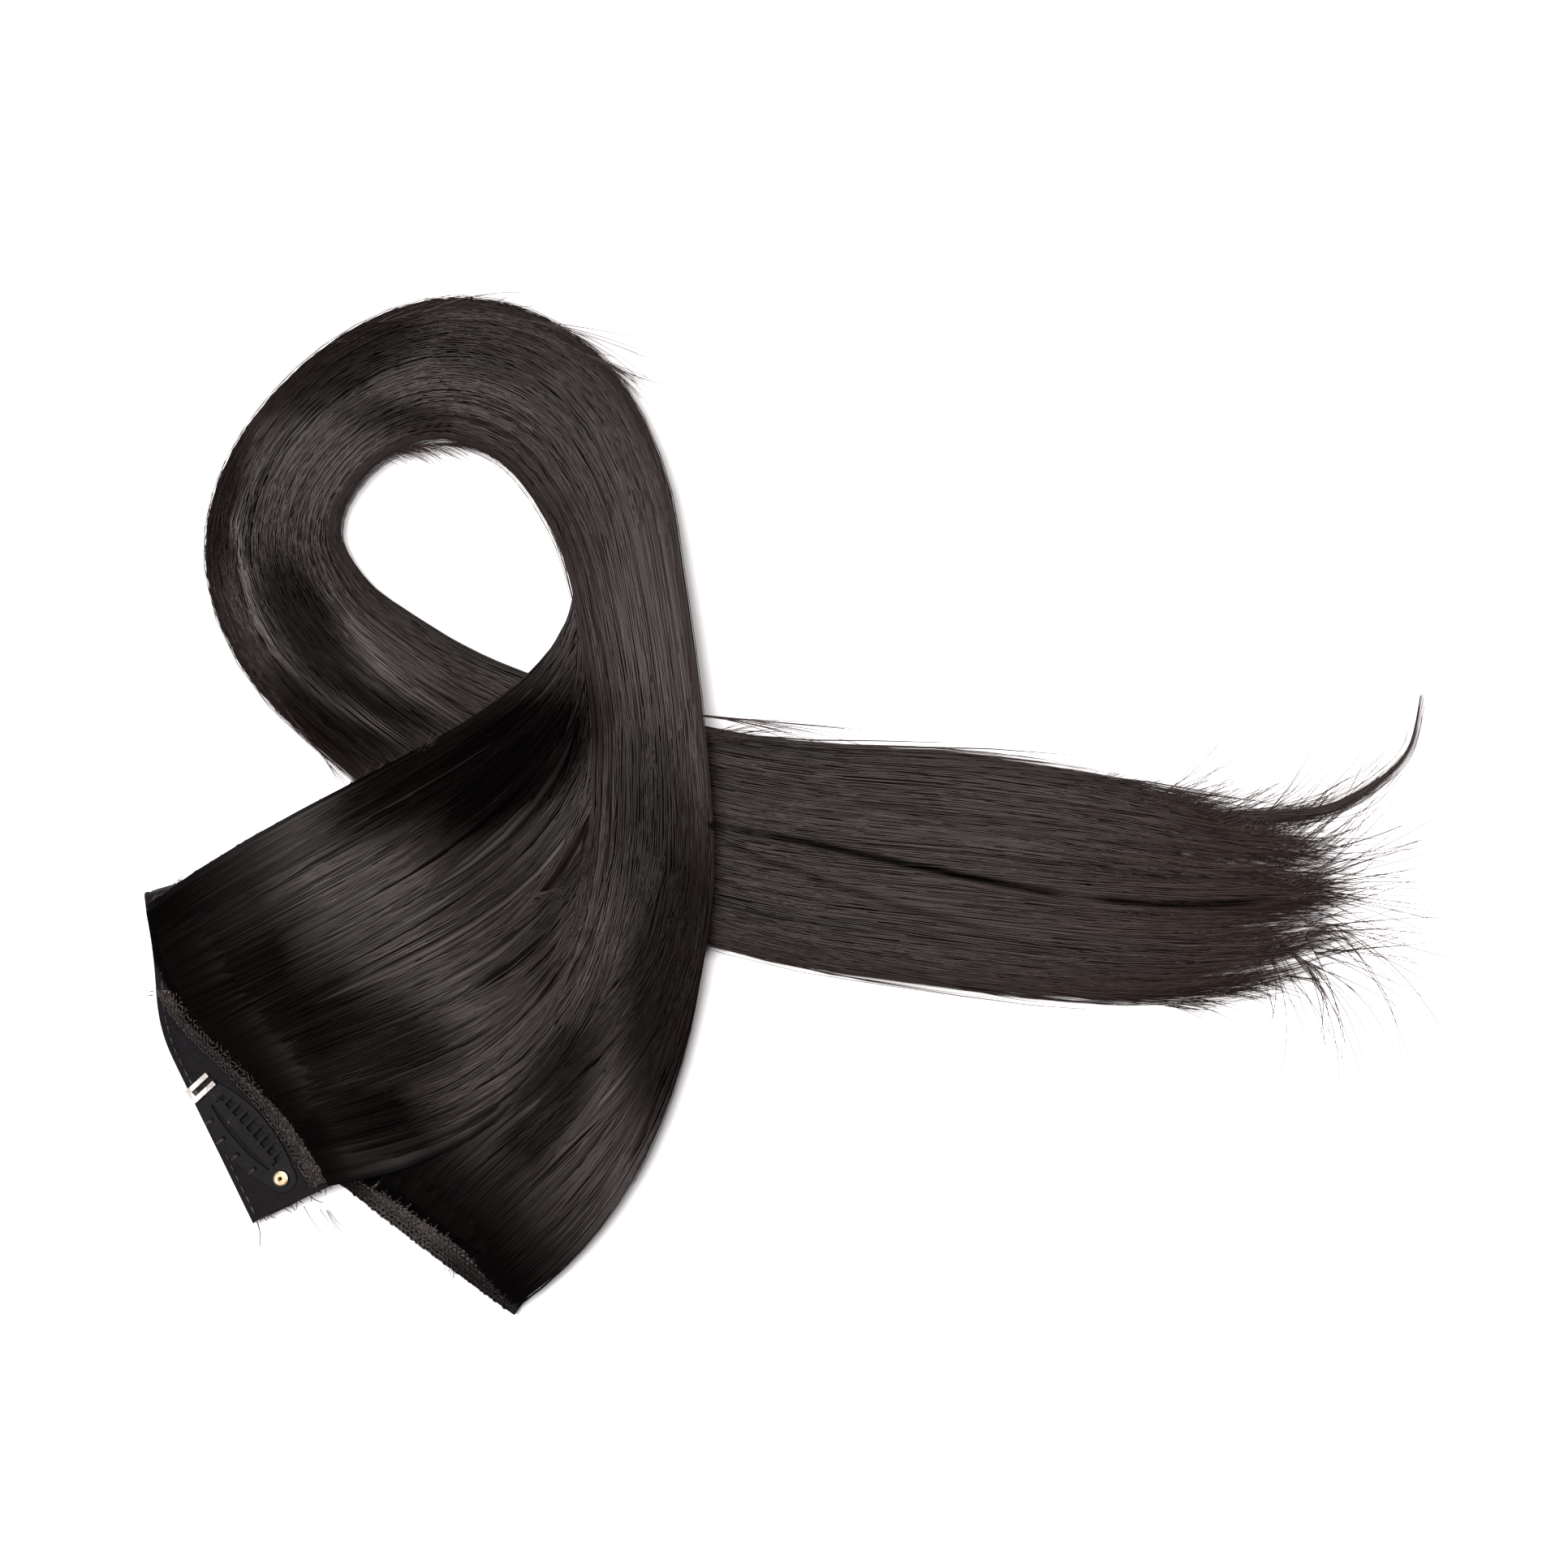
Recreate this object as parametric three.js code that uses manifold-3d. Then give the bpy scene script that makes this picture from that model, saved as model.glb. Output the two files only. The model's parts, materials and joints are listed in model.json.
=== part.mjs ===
// A clip-in hair extension lying on a table: a folded sewing band, two sewn tracks of hair, one long
// bundle of straight hair that loops over itself, and the snap comb clips that hold it in the hair.
// Millimetres, +Z up. The layout is built from the band's fold, and then set with its footprint's
// middle on the origin.
import * as THREE from "three";
import { mergeVertices } from "three/addons/utils/BufferGeometryUtils.js";
import Module from "manifold-3d";

const wasm = await Module();
wasm.setup();

// Driving sizes

const HAIR_LENGTH = 550; // root to the longest tip, along the hair
const BUNDLE_WIDTH = 30; // of the gathered hair in the loop
const BUNDLE_THICKNESS = 13;
const ROOT_THICKNESS = 4.4; // of the sheet of hair where it leaves a track
const CURL_THICKNESS = 2.2; // of the one lock of tips that curls away

const BAND_WIDTH = 20.5;
const BAND_THICKNESS = 1.4;
const UPPER_LENGTH = 74; // from the fold to the end that carries the clip in view
const LOWER_LENGTH = 123; // from the fold to the far end
const FOLD_FILL = 4.6; // what the folded band closes over
const TRACK_WIDTH = 4.8;
const TRACK_THICKNESS = 1.4;
const TRACK_INSET = 1.8; // from the lower half's free edge
const COVERED_LENGTH = 8; // of the upper half, from the fold, that the hair covers to its free edge

const CLIP_LENGTH = 32;
const CLIP_WIDTH = 11.6;
const CLIP_END_RADIUS = 3.2;
const CLIP_SKEW_DEG = 16; // how far the clip is sewn out of line with the band
const CLIP_FROM_END = 2.4; // of the band
const CLIP_FROM_EDGE = 7.5; // of the band, to the clip's middle
const PLATE_THICKNESS = 0.6;
const BACK_BAR = 3.4;
const FRONT_BAR = 1.8;
const SEWING_HOLES = 4;
const SEWING_HOLE_RADIUS = 0.5;
const TOOTH_WIDTH = 0.9;
const TOOTH_PITCH = 2.3;
const SPINE_WIDTH = 2.4;
const TONGUE_WIDTH = 0.9;
const RIVET_RADIUS = 0.8;
const RIVET_BORE = 0.4;
const RIVET_FLANGE = 1.7;
const RIVET_FLANGE_THICKNESS = 0.35;
const LOOP_BAR = 1.1; // the bright wire loop at the clip's other end
const LOOP_SLOT = 1.3;
const LOOP_WIDTH = 6.4;
const HIDDEN_CLIP_THICKNESS = 2.3;

const SEAT_GAP = 0.3; // between pieces that lie on each other
const SWING_GAP = 0.4; // round what turns with the comb

// How the band lies. Each half runs away from the fold. heading is the plan direction of its free
// edge and tilt how far its other edge is raised, in degrees. height is that of the free edge, as a
// share of the upper half's height at the fold.
const UPPER_LAY = [
  { at: 0, heading: -80, tilt: 0, height: 1 },
  { at: 0.24, heading: -86, tilt: 4, height: 0.88 },
  { at: 0.5, heading: -64, tilt: 13, height: 0.48 },
  { at: 1, heading: -64, tilt: 13, height: 0.48 },
];
const LOWER_LAY = [
  { at: 0, heading: -68 },
  { at: 0.3, heading: -58 },
  { at: 0.62, heading: -38 },
  { at: 1, heading: -36 },
];

// How the bundle lies, from where it gathers to its tips. x and y are the plan place from the
// band's fold, as shares of the hair's length. wide, thick and lift (its underside's height) are
// shares of the bundle's width and thickness.
const LAY = [
  { x: 0.193, y: -0.026, wide: 1.2, thick: 0.8, lift: 0.5 },
  { x: 0.201, y: 0.013, wide: 0.93, thick: 0.92, lift: 0.88 },
  { x: 0.202, y: 0.049, wide: 0.85, thick: 1, lift: 0.92 },
  { x: 0.2, y: 0.081, wide: 0.83, thick: 1, lift: 0.78 },
  { x: 0.1925, y: 0.127, wide: 0.8, thick: 1.05, lift: 0.4 },
  { x: 0.184, y: 0.159, wide: 0.97, thick: 1.05, lift: 0.2 },
  { x: 0.167, y: 0.1885, wide: 1.14, thick: 1, lift: 0.12 },
  { x: 0.1445, y: 0.2045, wide: 1.15, thick: 0.96, lift: 0.06 },
  { x: 0.12, y: 0.209, wide: 1.09, thick: 0.96, lift: 0.03 },
  { x: 0.096, y: 0.202, wide: 0.98, thick: 0.97, lift: 0 },
  { x: 0.075, y: 0.187, wide: 0.9, thick: 1, lift: 0 },
  { x: 0.059, y: 0.1655, wide: 0.93, thick: 1, lift: 0 },
  { x: 0.053, y: 0.143, wide: 1.03, thick: 0.96, lift: 0 },
  { x: 0.0575, y: 0.122, wide: 1.13, thick: 0.92, lift: 0 },
  { x: 0.071, y: 0.101, wide: 1.19, thick: 0.88, lift: 0 },
  { x: 0.091, y: 0.084, wide: 1.22, thick: 0.85, lift: 0 },
  { x: 0.115, y: 0.067, wide: 1.31, thick: 0.84, lift: 0 },
  { x: 0.1445, y: 0.052, wide: 1.4, thick: 0.82, lift: 0 },
  { x: 0.183, y: 0.037, wide: 1.46, thick: 0.8, lift: 0 },
  { x: 0.223, y: 0.024, wide: 1.51, thick: 0.78, lift: 0 },
  { x: 0.268, y: 0.015, wide: 1.68, thick: 0.74, lift: 0 },
  { x: 0.317, y: 0.01, wide: 1.73, thick: 0.7, lift: 0 },
  { x: 0.365, y: 0.004, wide: 1.73, thick: 0.68, lift: 0 },
  { x: 0.398, y: 0, wide: 1.65, thick: 0.64, lift: 0 },
  { x: 0.43, y: -0.003, wide: 1.42, thick: 0.56, lift: 0 },
  { x: 0.459, y: -0.003, wide: 1.16, thick: 0.42, lift: 0 },
  { x: 0.479, y: -0.003, wide: 0.9, thick: 0.25, lift: 0 },
];
const LOOP_ROW = 7; // the row of LAY where the loop's arrangement of locks is reached
const TAIL_ROW = 20; // and the tail's

// The locks that the bundle is fused from. on and at say where a lock leaves the band, and veer how
// far it turns from straight off it, in degrees. join is the row of LAY where it has come into the
// bundle, and tip the row where it ends. neck, loop and tail are its places there, across (1 at the
// loop's inner edge, -1 at its outer) and up (-1 to 1).
const LOCKS = [
  { on: "upper", at: 1 / 6, veer: 26, join: 5, tip: 25.3, neck: [0.5, -1], loop: [0.8, -1], tail: [1, -1] },
  { on: "upper", at: 3 / 6, veer: 4, join: 3.6, tip: 25.9, neck: [0.9, -0.4], loop: [0.1, -1], tail: [0.34, -1] },
  { on: "upper", at: 5 / 6, veer: -14, join: 2, tip: 26, neck: [0.8, 0.9], loop: [1, 0.4], tail: [0.67, -0.6] },
  { on: "lower", at: 1 / 8, veer: 10, join: 2, tip: 25, neck: [0, -0.9], loop: [-0.6, -1], tail: [-0.34, -1] },
  { on: "lower", at: 3 / 8, veer: 10, join: 1.5, tip: 25.6, neck: [0.3, 0.5], loop: [0.4, 1], tail: [0, -0.6] },
  { on: "lower", at: 5 / 8, veer: 0, join: 1, tip: 26, neck: [-0.35, 1], loop: [-0.3, 1], tail: [-0.67, -0.6] },
  { on: "lower", at: 7 / 8, veer: 0, join: 0.8, tip: 25.4, neck: [-1, 0], loop: [-1, 0], tail: [-1, -1] },
];
const LOCK_WIDE = 0.36; // of the bundle's width
const LOCK_DEEP = 0.66; // of the bundle's thickness
const ROOT_SPREAD = 1.1; // how far neighbouring locks run into each other at the band
const FAN_PULL = 1.05; // how straight a lock leaves its root and enters the bundle
const FAN_FULLNESS = 0.3; // of a lock's width, added halfway between the two
const FAN_STEPS = 10;
const ROW_STEPS = 1.9; // sections for each row of LAY
const LOCK_SIDES = 8;
const TIP_SHARE = 0.25; // of a lock's size, left at its tip
const TIP_ROWS = 1.6; // over which a lock thins to its tip

// The lock of tips that curls away, as LAY has it, with its size as a share of CURL_THICKNESS.
const CURL = [
  { x: 0.425, y: 0.03, size: 1.5, lift: 0.8 },
  { x: 0.455, y: 0.0305, size: 1.6, lift: 0.8 },
  { x: 0.477, y: 0.034, size: 1.3, lift: 0.8 },
  { x: 0.495, y: 0.044, size: 0.9, lift: 1 },
  { x: 0.508, y: 0.058, size: 0.6, lift: 1.2 },
  { x: 0.513, y: 0.08, size: 0.4, lift: 1.4 },
];

// Sizes that follow from them

const foldRadius = (BAND_THICKNESS + FOLD_FILL) / 2;
const lowerHeight = HIDDEN_CLIP_THICKNESS + SEAT_GAP + BAND_THICKNESS / 2;
const upperHeight = lowerHeight + 2 * foldRadius;
const combBottom = SEAT_GAP + PLATE_THICKNESS + SEAT_GAP; // above the band
const hingeHeight = combBottom + PLATE_THICKNESS / 2;
const hoodBottom = hingeHeight + PLATE_THICKNESS / 2 + SWING_GAP;
const clipEndCentre = CLIP_LENGTH / 2 - CLIP_END_RADIUS;

const UP = new THREE.Vector3(0, 0, 1);
const radians = THREE.MathUtils.degToRad;

// A table's column at a share of its length, eased from each row to the next.
function eased(rows, column, at) {
  let i = 0;
  while (i < rows.length - 2 && rows[i + 1].at < at) i++;
  const [a, b] = [rows[i], rows[i + 1]];
  return THREE.MathUtils.lerp(a[column], b[column], THREE.MathUtils.smoothstep(at, a.at, b.at));
}

// A table's column at a row number that may lie between two rows, on a smooth curve through them.
function curved(rows, column, row) {
  const last = rows.length - 1;
  const i = Math.min(Math.max(Math.floor(row), 0), last - 1);
  const t = row - i;
  const value = (k) => rows[Math.min(Math.max(k, 0), last)][column];
  const [p, q, r, s] = [value(i - 1), value(i), value(i + 1), value(i + 2)];
  return q + 0.5 * t * (r - p + t * (2 * p - 5 * q + 4 * r - s + t * (3 * (q - r) + s - p)));
}

// A closed skin through rings of equally many points, flat at both ends, facing out.
function skin(rings) {
  const count = rings[0].length;
  const last = (rings.length - 1) * count;
  const index = [];
  for (let i = 0; i + 1 < rings.length; i++)
    for (let j = 0; j < count; j++) {
      const a = i * count + j;
      const b = i * count + ((j + 1) % count);
      index.push(a, b, b + count, a, b + count, a + count);
    }
  for (let j = 1; j + 1 < count; j++) {
    index.push(0, j + 1, j);
    index.push(last, last + j, last + j + 1);
  }
  const position = rings.flat().flatMap((p) => p.toArray());
  const geometry = new THREE.BufferGeometry();
  geometry.setAttribute("position", new THREE.Float32BufferAttribute(position, 3));
  geometry.setIndex(index);
  return geometry;
}

// The ring of an outline of [side, up] pairs round a point. The ring's way forward is side x up.
function ring(centre, side, up, outline) {
  return outline.map(([s, u]) => centre.clone().addScaledVector(side, s).addScaledVector(up, u));
}

function rectangle(width, thickness) {
  const [w, t] = [width / 2, thickness / 2];
  return [[-w, -t], [w, -t], [w, t], [-w, t]];
}

// A flattened round outline with a flat side below, so that it lies on a table.
function oval(halfWidth, halfThickness, sides) {
  const flat = Math.cos(Math.PI / sides);
  return Array.from({ length: sides }, (_, k) => {
    const angle = ((2 * k + 1) / sides - 0.5) * Math.PI;
    return [halfWidth * Math.cos(angle), (halfThickness * Math.sin(angle)) / flat];
  });
}

function solidOf(geometry) {
  const bare = new THREE.BufferGeometry();
  bare.setAttribute("position", geometry.getAttribute("position"));
  if (geometry.index) bare.setIndex(geometry.index);
  const merged = mergeVertices(bare, 1e-4);
  const vertProperties = new Float32Array(merged.getAttribute("position").array);
  const triVerts = new Uint32Array(merged.index.array);
  return new wasm.Manifold(new wasm.Mesh({ numProp: 3, vertProperties, triVerts }));
}

function geometryOf(solid) {
  const { vertProperties, triVerts } = solid.getMesh();
  const geometry = new THREE.BufferGeometry();
  geometry.setAttribute("position", new THREE.BufferAttribute(vertProperties, 3));
  geometry.setIndex(new THREE.BufferAttribute(triVerts, 1));
  return geometry;
}

const fused = (geometries) => geometries.map(solidOf).reduce((all, one) => all.add(one));

function plate(shape, bottom, thickness) {
  const geometry = new THREE.ExtrudeGeometry(shape, {
    depth: thickness,
    bevelEnabled: false,
    curveSegments: 10,
  });
  return geometry.translate(0, 0, bottom);
}

// The band

const HALVES = {
  upper: { rows: UPPER_LAY, length: UPPER_LENGTH },
  lower: { rows: LOWER_LAY, length: LOWER_LENGTH },
};
const PATH_STEPS = 100; // along a half
const TRACK_END = 0.985; // of a half's length
const COVERED = COVERED_LENGTH / UPPER_LENGTH;

const direction = (degrees) => new THREE.Vector3(Math.cos(radians(degrees)), Math.sin(radians(degrees)), 0);

// Where a half of the band is at a distance from the fold: its free edge, the way along it away from
// the fold, the way over it to its other edge, and the way up off its upper face.
function bandAt(half, distance) {
  const { rows, length } = HALVES[half];
  const heading = (d) => eased(rows, "heading", THREE.MathUtils.clamp(d / length, 0, 1));
  const edge = direction(heading(0)).multiplyScalar(foldRadius + BAND_THICKNESS / 2);
  const steps = Math.max(1, Math.ceil((PATH_STEPS * distance) / length));
  for (let i = 0; i < steps; i++)
    edge.addScaledVector(direction(heading(((i + 0.5) * distance) / steps)), distance / steps);
  const along = direction(heading(distance));
  const across = UP.clone().cross(along);
  const share = THREE.MathUtils.clamp(distance / length, 0, 1);
  const tilt = half === "upper" ? radians(eased(rows, "tilt", share)) : 0;
  edge.z = half === "upper" ? upperHeight * eased(rows, "height", share) : lowerHeight;
  const over = across.clone().multiplyScalar(Math.cos(tilt)).addScaledVector(UP, Math.sin(tilt));
  return { edge, along, over, up: along.clone().cross(over) };
}

// A point on or off the band's upper face.
function bandPoint(half, distance, over, above) {
  const frame = bandAt(half, distance);
  return frame.edge
    .clone()
    .addScaledVector(frame.over, over)
    .addScaledVector(frame.up, BAND_THICKNESS / 2 + above);
}

// The band runs down its upper half, round the fold and out along its lower half. room grows it on
// every side, for what is cut to leave it clear.
function bandGeometry(room) {
  const outline = rectangle(BAND_WIDTH + 2 * room, BAND_THICKNESS + 2 * room);
  const middle = (edge, over) => edge.clone().addScaledVector(over, BAND_WIDTH / 2);
  const rings = [];
  const steps = 20;
  for (let i = steps; i >= 0; i--) {
    const { edge, over, up } = bandAt("upper", (i / steps) * UPPER_LENGTH + (i === steps ? room : 0));
    rings.push(ring(middle(edge, over), over.clone().negate(), up, outline));
  }
  const turn = 8;
  for (let i = 1; i < turn; i++) {
    const share = i / turn;
    const heading = THREE.MathUtils.lerp(UPPER_LAY[0].heading, LOWER_LAY[0].heading, share);
    const out = direction(heading).negate();
    const over = out.clone().cross(UP);
    const up = UP.clone().multiplyScalar(Math.cos(Math.PI * share));
    up.addScaledVector(out, Math.sin(Math.PI * share));
    const centre = out.clone().multiplyScalar(-foldRadius - BAND_THICKNESS / 2);
    centre.z = lowerHeight + foldRadius;
    centre.addScaledVector(up, foldRadius);
    rings.push(ring(middle(centre, over), over.clone().negate(), up, outline));
  }
  for (let i = 0; i <= steps; i++) {
    const { edge, over, up } = bandAt("lower", (i / steps) * LOWER_LENGTH + (i === steps ? room : 0));
    rings.push(ring(middle(edge, over), over.clone().negate(), up.clone().negate(), outline));
  }
  return skin(rings);
}

// How far over the band from its free edge the hair leaves a track, at a share of a half's length.
// On the upper half this line swings from the free edge to the other.
function hairLine(half, share) {
  if (half === "lower") return TRACK_INSET + TRACK_WIDTH;
  const swung = THREE.MathUtils.clamp((share - COVERED) / (1 - COVERED), 0, 1);
  return BAND_WIDTH * Math.sin((swung * Math.PI) / 2);
}

// A track beside the hair's line, from one share of a half's length to its end.
function trackGeometry(half, from, room) {
  const outline = rectangle(TRACK_WIDTH + 2 * room, TRACK_THICKNESS + 2 * room);
  const rings = [];
  const steps = 16;
  for (let i = 0; i <= steps; i++) {
    const share = THREE.MathUtils.lerp(from, TRACK_END, i / steps);
    const frame = bandAt(half, share * HALVES[half].length);
    const over = hairLine(half, share) - TRACK_WIDTH / 2;
    const centre = bandPoint(half, share * HALVES[half].length, over, SEAT_GAP + TRACK_THICKNESS / 2);
    rings.push(ring(centre, frame.over, frame.up, outline));
  }
  return skin(rings);
}

// The upper track starts where the band has room for it beside the hair's line.
function upperTrackGeometry(room) {
  const start = Math.asin(TRACK_WIDTH / BAND_WIDTH) / (Math.PI / 2);
  return trackGeometry("upper", THREE.MathUtils.lerp(COVERED, 1, start), room);
}

function lowerTrackGeometry(room) {
  return trackGeometry("lower", 1 - TRACK_END, room);
}

// The hair

// The bundle at a row of LAY: its middle on the table, its ways forward and to the loop's inner
// side, and its width, thickness and underside's height.
function bundleAt(row) {
  const place = (r) =>
    new THREE.Vector3(curved(LAY, "x", r), curved(LAY, "y", r), 0).multiplyScalar(HAIR_LENGTH);
  const nudge = 0.05;
  const forward = place(row + nudge).sub(place(row - nudge)).normalize();
  return {
    middle: place(row),
    forward,
    inward: UP.clone().cross(forward),
    width: BUNDLE_WIDTH * curved(LAY, "wide", row),
    thickness: BUNDLE_THICKNESS * curved(LAY, "thick", row),
    lift: BUNDLE_THICKNESS * Math.max(0, curved(LAY, "lift", row)),
  };
}

// A lock's place in the bundle at a row, and its half width and half thickness there.
function lockInBundle(lock, row) {
  const bundle = bundleAt(row);
  const toLoop = THREE.MathUtils.smoothstep(row, lock.join, LOOP_ROW);
  const toTail = THREE.MathUtils.smoothstep(row, LOOP_ROW, TAIL_ROW);
  const [across, up] = [0, 1].map((k) =>
    THREE.MathUtils.lerp(THREE.MathUtils.lerp(lock.neck[k], lock.loop[k], toLoop), lock.tail[k], toTail),
  );
  const thin = THREE.MathUtils.lerp(TIP_SHARE, 1, THREE.MathUtils.smoothstep(lock.tip - row, 0, TIP_ROWS));
  const halfWidth = (LOCK_WIDE * bundle.width) / 2;
  const halfThickness = (LOCK_DEEP * bundle.thickness) / 2;
  const centre = bundle.middle.clone().addScaledVector(bundle.inward, across * (bundle.width / 2 - halfWidth));
  centre.z = bundle.lift + halfThickness + ((up + 1) / 2) * (bundle.thickness - 2 * halfThickness);
  centre.z -= halfThickness * (1 - thin);
  return {
    centre,
    forward: bundle.forward,
    turned: 1,
    halfWidth: halfWidth * thin,
    halfThickness: halfThickness * thin,
  };
}

// Where the hair leaves a half of the band, at a share of its length, above the band's face.
function rootPoint(half, share, above) {
  return bandPoint(half, share * HALVES[half].length, hairLine(half, share) + SEAT_GAP, above);
}

// A lock from the band, on one smooth curve into the bundle, and then with it to its tip. Its root
// end lies along the hair's line, so that neighbouring locks make one sheet.
function lockGeometry(lock) {
  const { length } = HALVES[lock.on];
  const locksInHalf = LOCKS.filter((other) => other.on === lock.on).length;
  const rootShare = ROOT_SPREAD / locksInHalf / 2;
  const rootHalfThickness = ROOT_THICKNESS / 2;
  const above = SEAT_GAP + rootHalfThickness;
  const root = rootPoint(lock.on, lock.at, above);
  const rootLeft = rootPoint(lock.on, lock.at - rootShare, above);
  rootLeft.sub(rootPoint(lock.on, lock.at + rootShare, above)).setZ(0);
  const rootHalfWidth = rootLeft.length() / 2;
  rootLeft.normalize();
  const off = UP.clone().cross(bandAt(lock.on, lock.at * length).along);
  off.applyAxisAngle(UP, radians(lock.veer));
  const joined = lockInBundle(lock, lock.join);
  const pull = FAN_PULL * root.distanceTo(joined.centre);
  const sections = [];
  for (let i = 0; i < FAN_STEPS; i++) {
    const t = i / FAN_STEPS;
    const [h00, h10, h01, h11] = [
      (1 + 2 * t) * (1 - t) ** 2,
      t * (1 - t) ** 2,
      t ** 2 * (3 - 2 * t),
      t ** 2 * (t - 1),
    ];
    const fullness = 1 + FAN_FULLNESS * Math.sin(Math.PI * t);
    const centre = root.clone().multiplyScalar(h00).addScaledVector(off, h10 * pull);
    centre.addScaledVector(joined.centre, h01).addScaledVector(joined.forward, h11 * pull);
    sections.push({
      centre,
      left: rootLeft,
      turned: t,
      halfWidth: THREE.MathUtils.lerp(rootHalfWidth, joined.halfWidth, t) * fullness,
      halfThickness: THREE.MathUtils.lerp(rootHalfThickness, joined.halfThickness, t),
    });
  }
  const steps = Math.round((lock.tip - lock.join) * ROW_STEPS);
  for (let i = 0; i <= steps; i++)
    sections.push(lockInBundle(lock, THREE.MathUtils.lerp(lock.join, lock.tip, i / steps)));
  return tubeOf(sections, LOCK_SIDES);
}

// A tube with level ovals through sections, kept on or above the table. An oval lies square to the
// plan path, or on the way from its section's own left to that, as far as turned says.
function tubeOf(sections, sides) {
  return skin(
    sections.map(({ centre, left, turned, halfWidth, halfThickness }, i) => {
      const before = sections[Math.max(i - 1, 0)].centre;
      const after = sections[Math.min(i + 1, sections.length - 1)].centre;
      const side = UP.clone().cross(after.clone().sub(before)).setZ(0).normalize();
      if (turned < 1) side.lerp(left, 1 - turned).normalize();
      const points = ring(centre, side, UP, oval(halfWidth, halfThickness, sides));
      points.forEach((p) => (p.z = Math.max(p.z, 0)));
      return points;
    }),
  );
}

function curlGeometry() {
  const steps = 12;
  return tubeOf(
    Array.from({ length: steps + 1 }, (_, i) => {
      const row = (i / steps) * (CURL.length - 1);
      const half = (CURL_THICKNESS * curved(CURL, "size", row)) / 2;
      const centre = new THREE.Vector3(curved(CURL, "x", row), curved(CURL, "y", row), 0);
      centre.multiplyScalar(HAIR_LENGTH).setZ(CURL_THICKNESS * curved(CURL, "lift", row));
      return { centre, turned: 1, halfWidth: half, halfThickness: half };
    }),
    6,
  );
}

// The locks fused into one body, clear of the band and the tracks, with no pocket left inside.
function hairGeometry() {
  const locks = fused([...LOCKS.map(lockGeometry), curlGeometry()]);
  const room = fused([bandGeometry(SEAT_GAP), upperTrackGeometry(SEAT_GAP), lowerTrackGeometry(SEAT_GAP)]);
  const bodies = locks.subtract(room).decompose();
  return geometryOf(bodies.reduce((a, b) => (b.volume() > a.volume() ? b : a)));
}

// The clips, each drawn flat with x along it, y over the band and z off the band's face

// How far the clip's edge lies from its middle line, at a place along it.
const clipEdge = (x) =>
  CLIP_END_RADIUS + (CLIP_WIDTH / 2 - CLIP_END_RADIUS) * Math.max(0, 1 - (x / clipEndCentre) ** 2);

function clipOutline() {
  const bulge = CLIP_WIDTH - CLIP_END_RADIUS;
  return new THREE.Shape()
    .moveTo(-clipEndCentre, -CLIP_END_RADIUS)
    .quadraticCurveTo(0, -bulge, clipEndCentre, -CLIP_END_RADIUS)
    .absarc(clipEndCentre, 0, CLIP_END_RADIUS, -Math.PI / 2, Math.PI / 2)
    .quadraticCurveTo(0, bulge, -clipEndCentre, CLIP_END_RADIUS)
    .absarc(-clipEndCentre, 0, CLIP_END_RADIUS, Math.PI / 2, 1.5 * Math.PI);
}

function roundHole(x, y, radius) {
  return new THREE.Path().absarc(x, y, radius, 0, 2 * Math.PI, true);
}

// Half the length of the frame's window, which leaves room for the comb's tongues to lie on its ends.
const windowHalf = clipEndCentre - CLIP_END_RADIUS;
const spineHalf = windowHalf - SWING_GAP;
const toothCount = 1 + Math.floor((2 * spineHalf - TOOTH_WIDTH) / TOOTH_PITCH);

function clipFrame() {
  const outline = clipOutline();
  const back = clipEdge(windowHalf) - BACK_BAR * 0.9;
  const front = clipEdge(windowHalf) - FRONT_BAR;
  const backBulge = 2 * (CLIP_WIDTH / 2 - BACK_BAR) - back;
  const frontBulge = 2 * (CLIP_WIDTH / 2 - FRONT_BAR) - front;
  const window = new THREE.Path()
    .moveTo(-windowHalf, -back)
    .lineTo(-windowHalf, front)
    .quadraticCurveTo(0, frontBulge, windowHalf, front)
    .lineTo(windowHalf, -back)
    .quadraticCurveTo(0, -backBulge, -windowHalf, -back);
  outline.holes.push(window, roundHole(clipEndCentre, 0, RIVET_RADIUS + SEAT_GAP));
  for (let i = 0; i < SEWING_HOLES; i++) {
    const x = ((i + 0.5) / SEWING_HOLES - 0.5) * 2 * windowHalf;
    outline.holes.push(roundHole(x, BACK_BAR / 2 - clipEdge(x), SEWING_HOLE_RADIUS));
  }
  return plate(outline, SEAT_GAP, PLATE_THICKNESS);
}

// The comb: a spine, two tongues on the hinge line at its ends, and teeth that reach over the
// frame's front bar.
function clipComb() {
  const atRivet = clipEndCentre - RIVET_RADIUS - SWING_GAP;
  const atLoop = CLIP_LENGTH / 2 - SEAT_GAP - LOOP_BAR / 2;
  const [back, front] = [-SPINE_WIDTH / 3, (2 * SPINE_WIDTH) / 3];
  const tongue = TONGUE_WIDTH / 2;
  const outline = new THREE.Shape()
    .moveTo(-atLoop, -tongue)
    .lineTo(-spineHalf, -tongue)
    .quadraticCurveTo(0, 2 * back + tongue, spineHalf, -tongue)
    .lineTo(atRivet, -tongue)
    .lineTo(atRivet, tongue)
    .lineTo(spineHalf, tongue)
    .lineTo(spineHalf, front);
  for (let i = toothCount - 1; i >= 0; i--) {
    const x = (i - (toothCount - 1) / 2) * TOOTH_PITCH;
    const tip = clipEdge(x) - FRONT_BAR * 0.4;
    outline
      .lineTo(x + TOOTH_WIDTH / 2, front)
      .lineTo(x + TOOTH_WIDTH / 3, tip)
      .lineTo(x - TOOTH_WIDTH / 3, tip)
      .lineTo(x - TOOTH_WIDTH / 2, front);
  }
  outline.lineTo(-spineHalf, front).lineTo(-spineHalf, tongue).lineTo(-atLoop, tongue);
  return plate(outline, combBottom, PLATE_THICKNESS);
}

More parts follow.
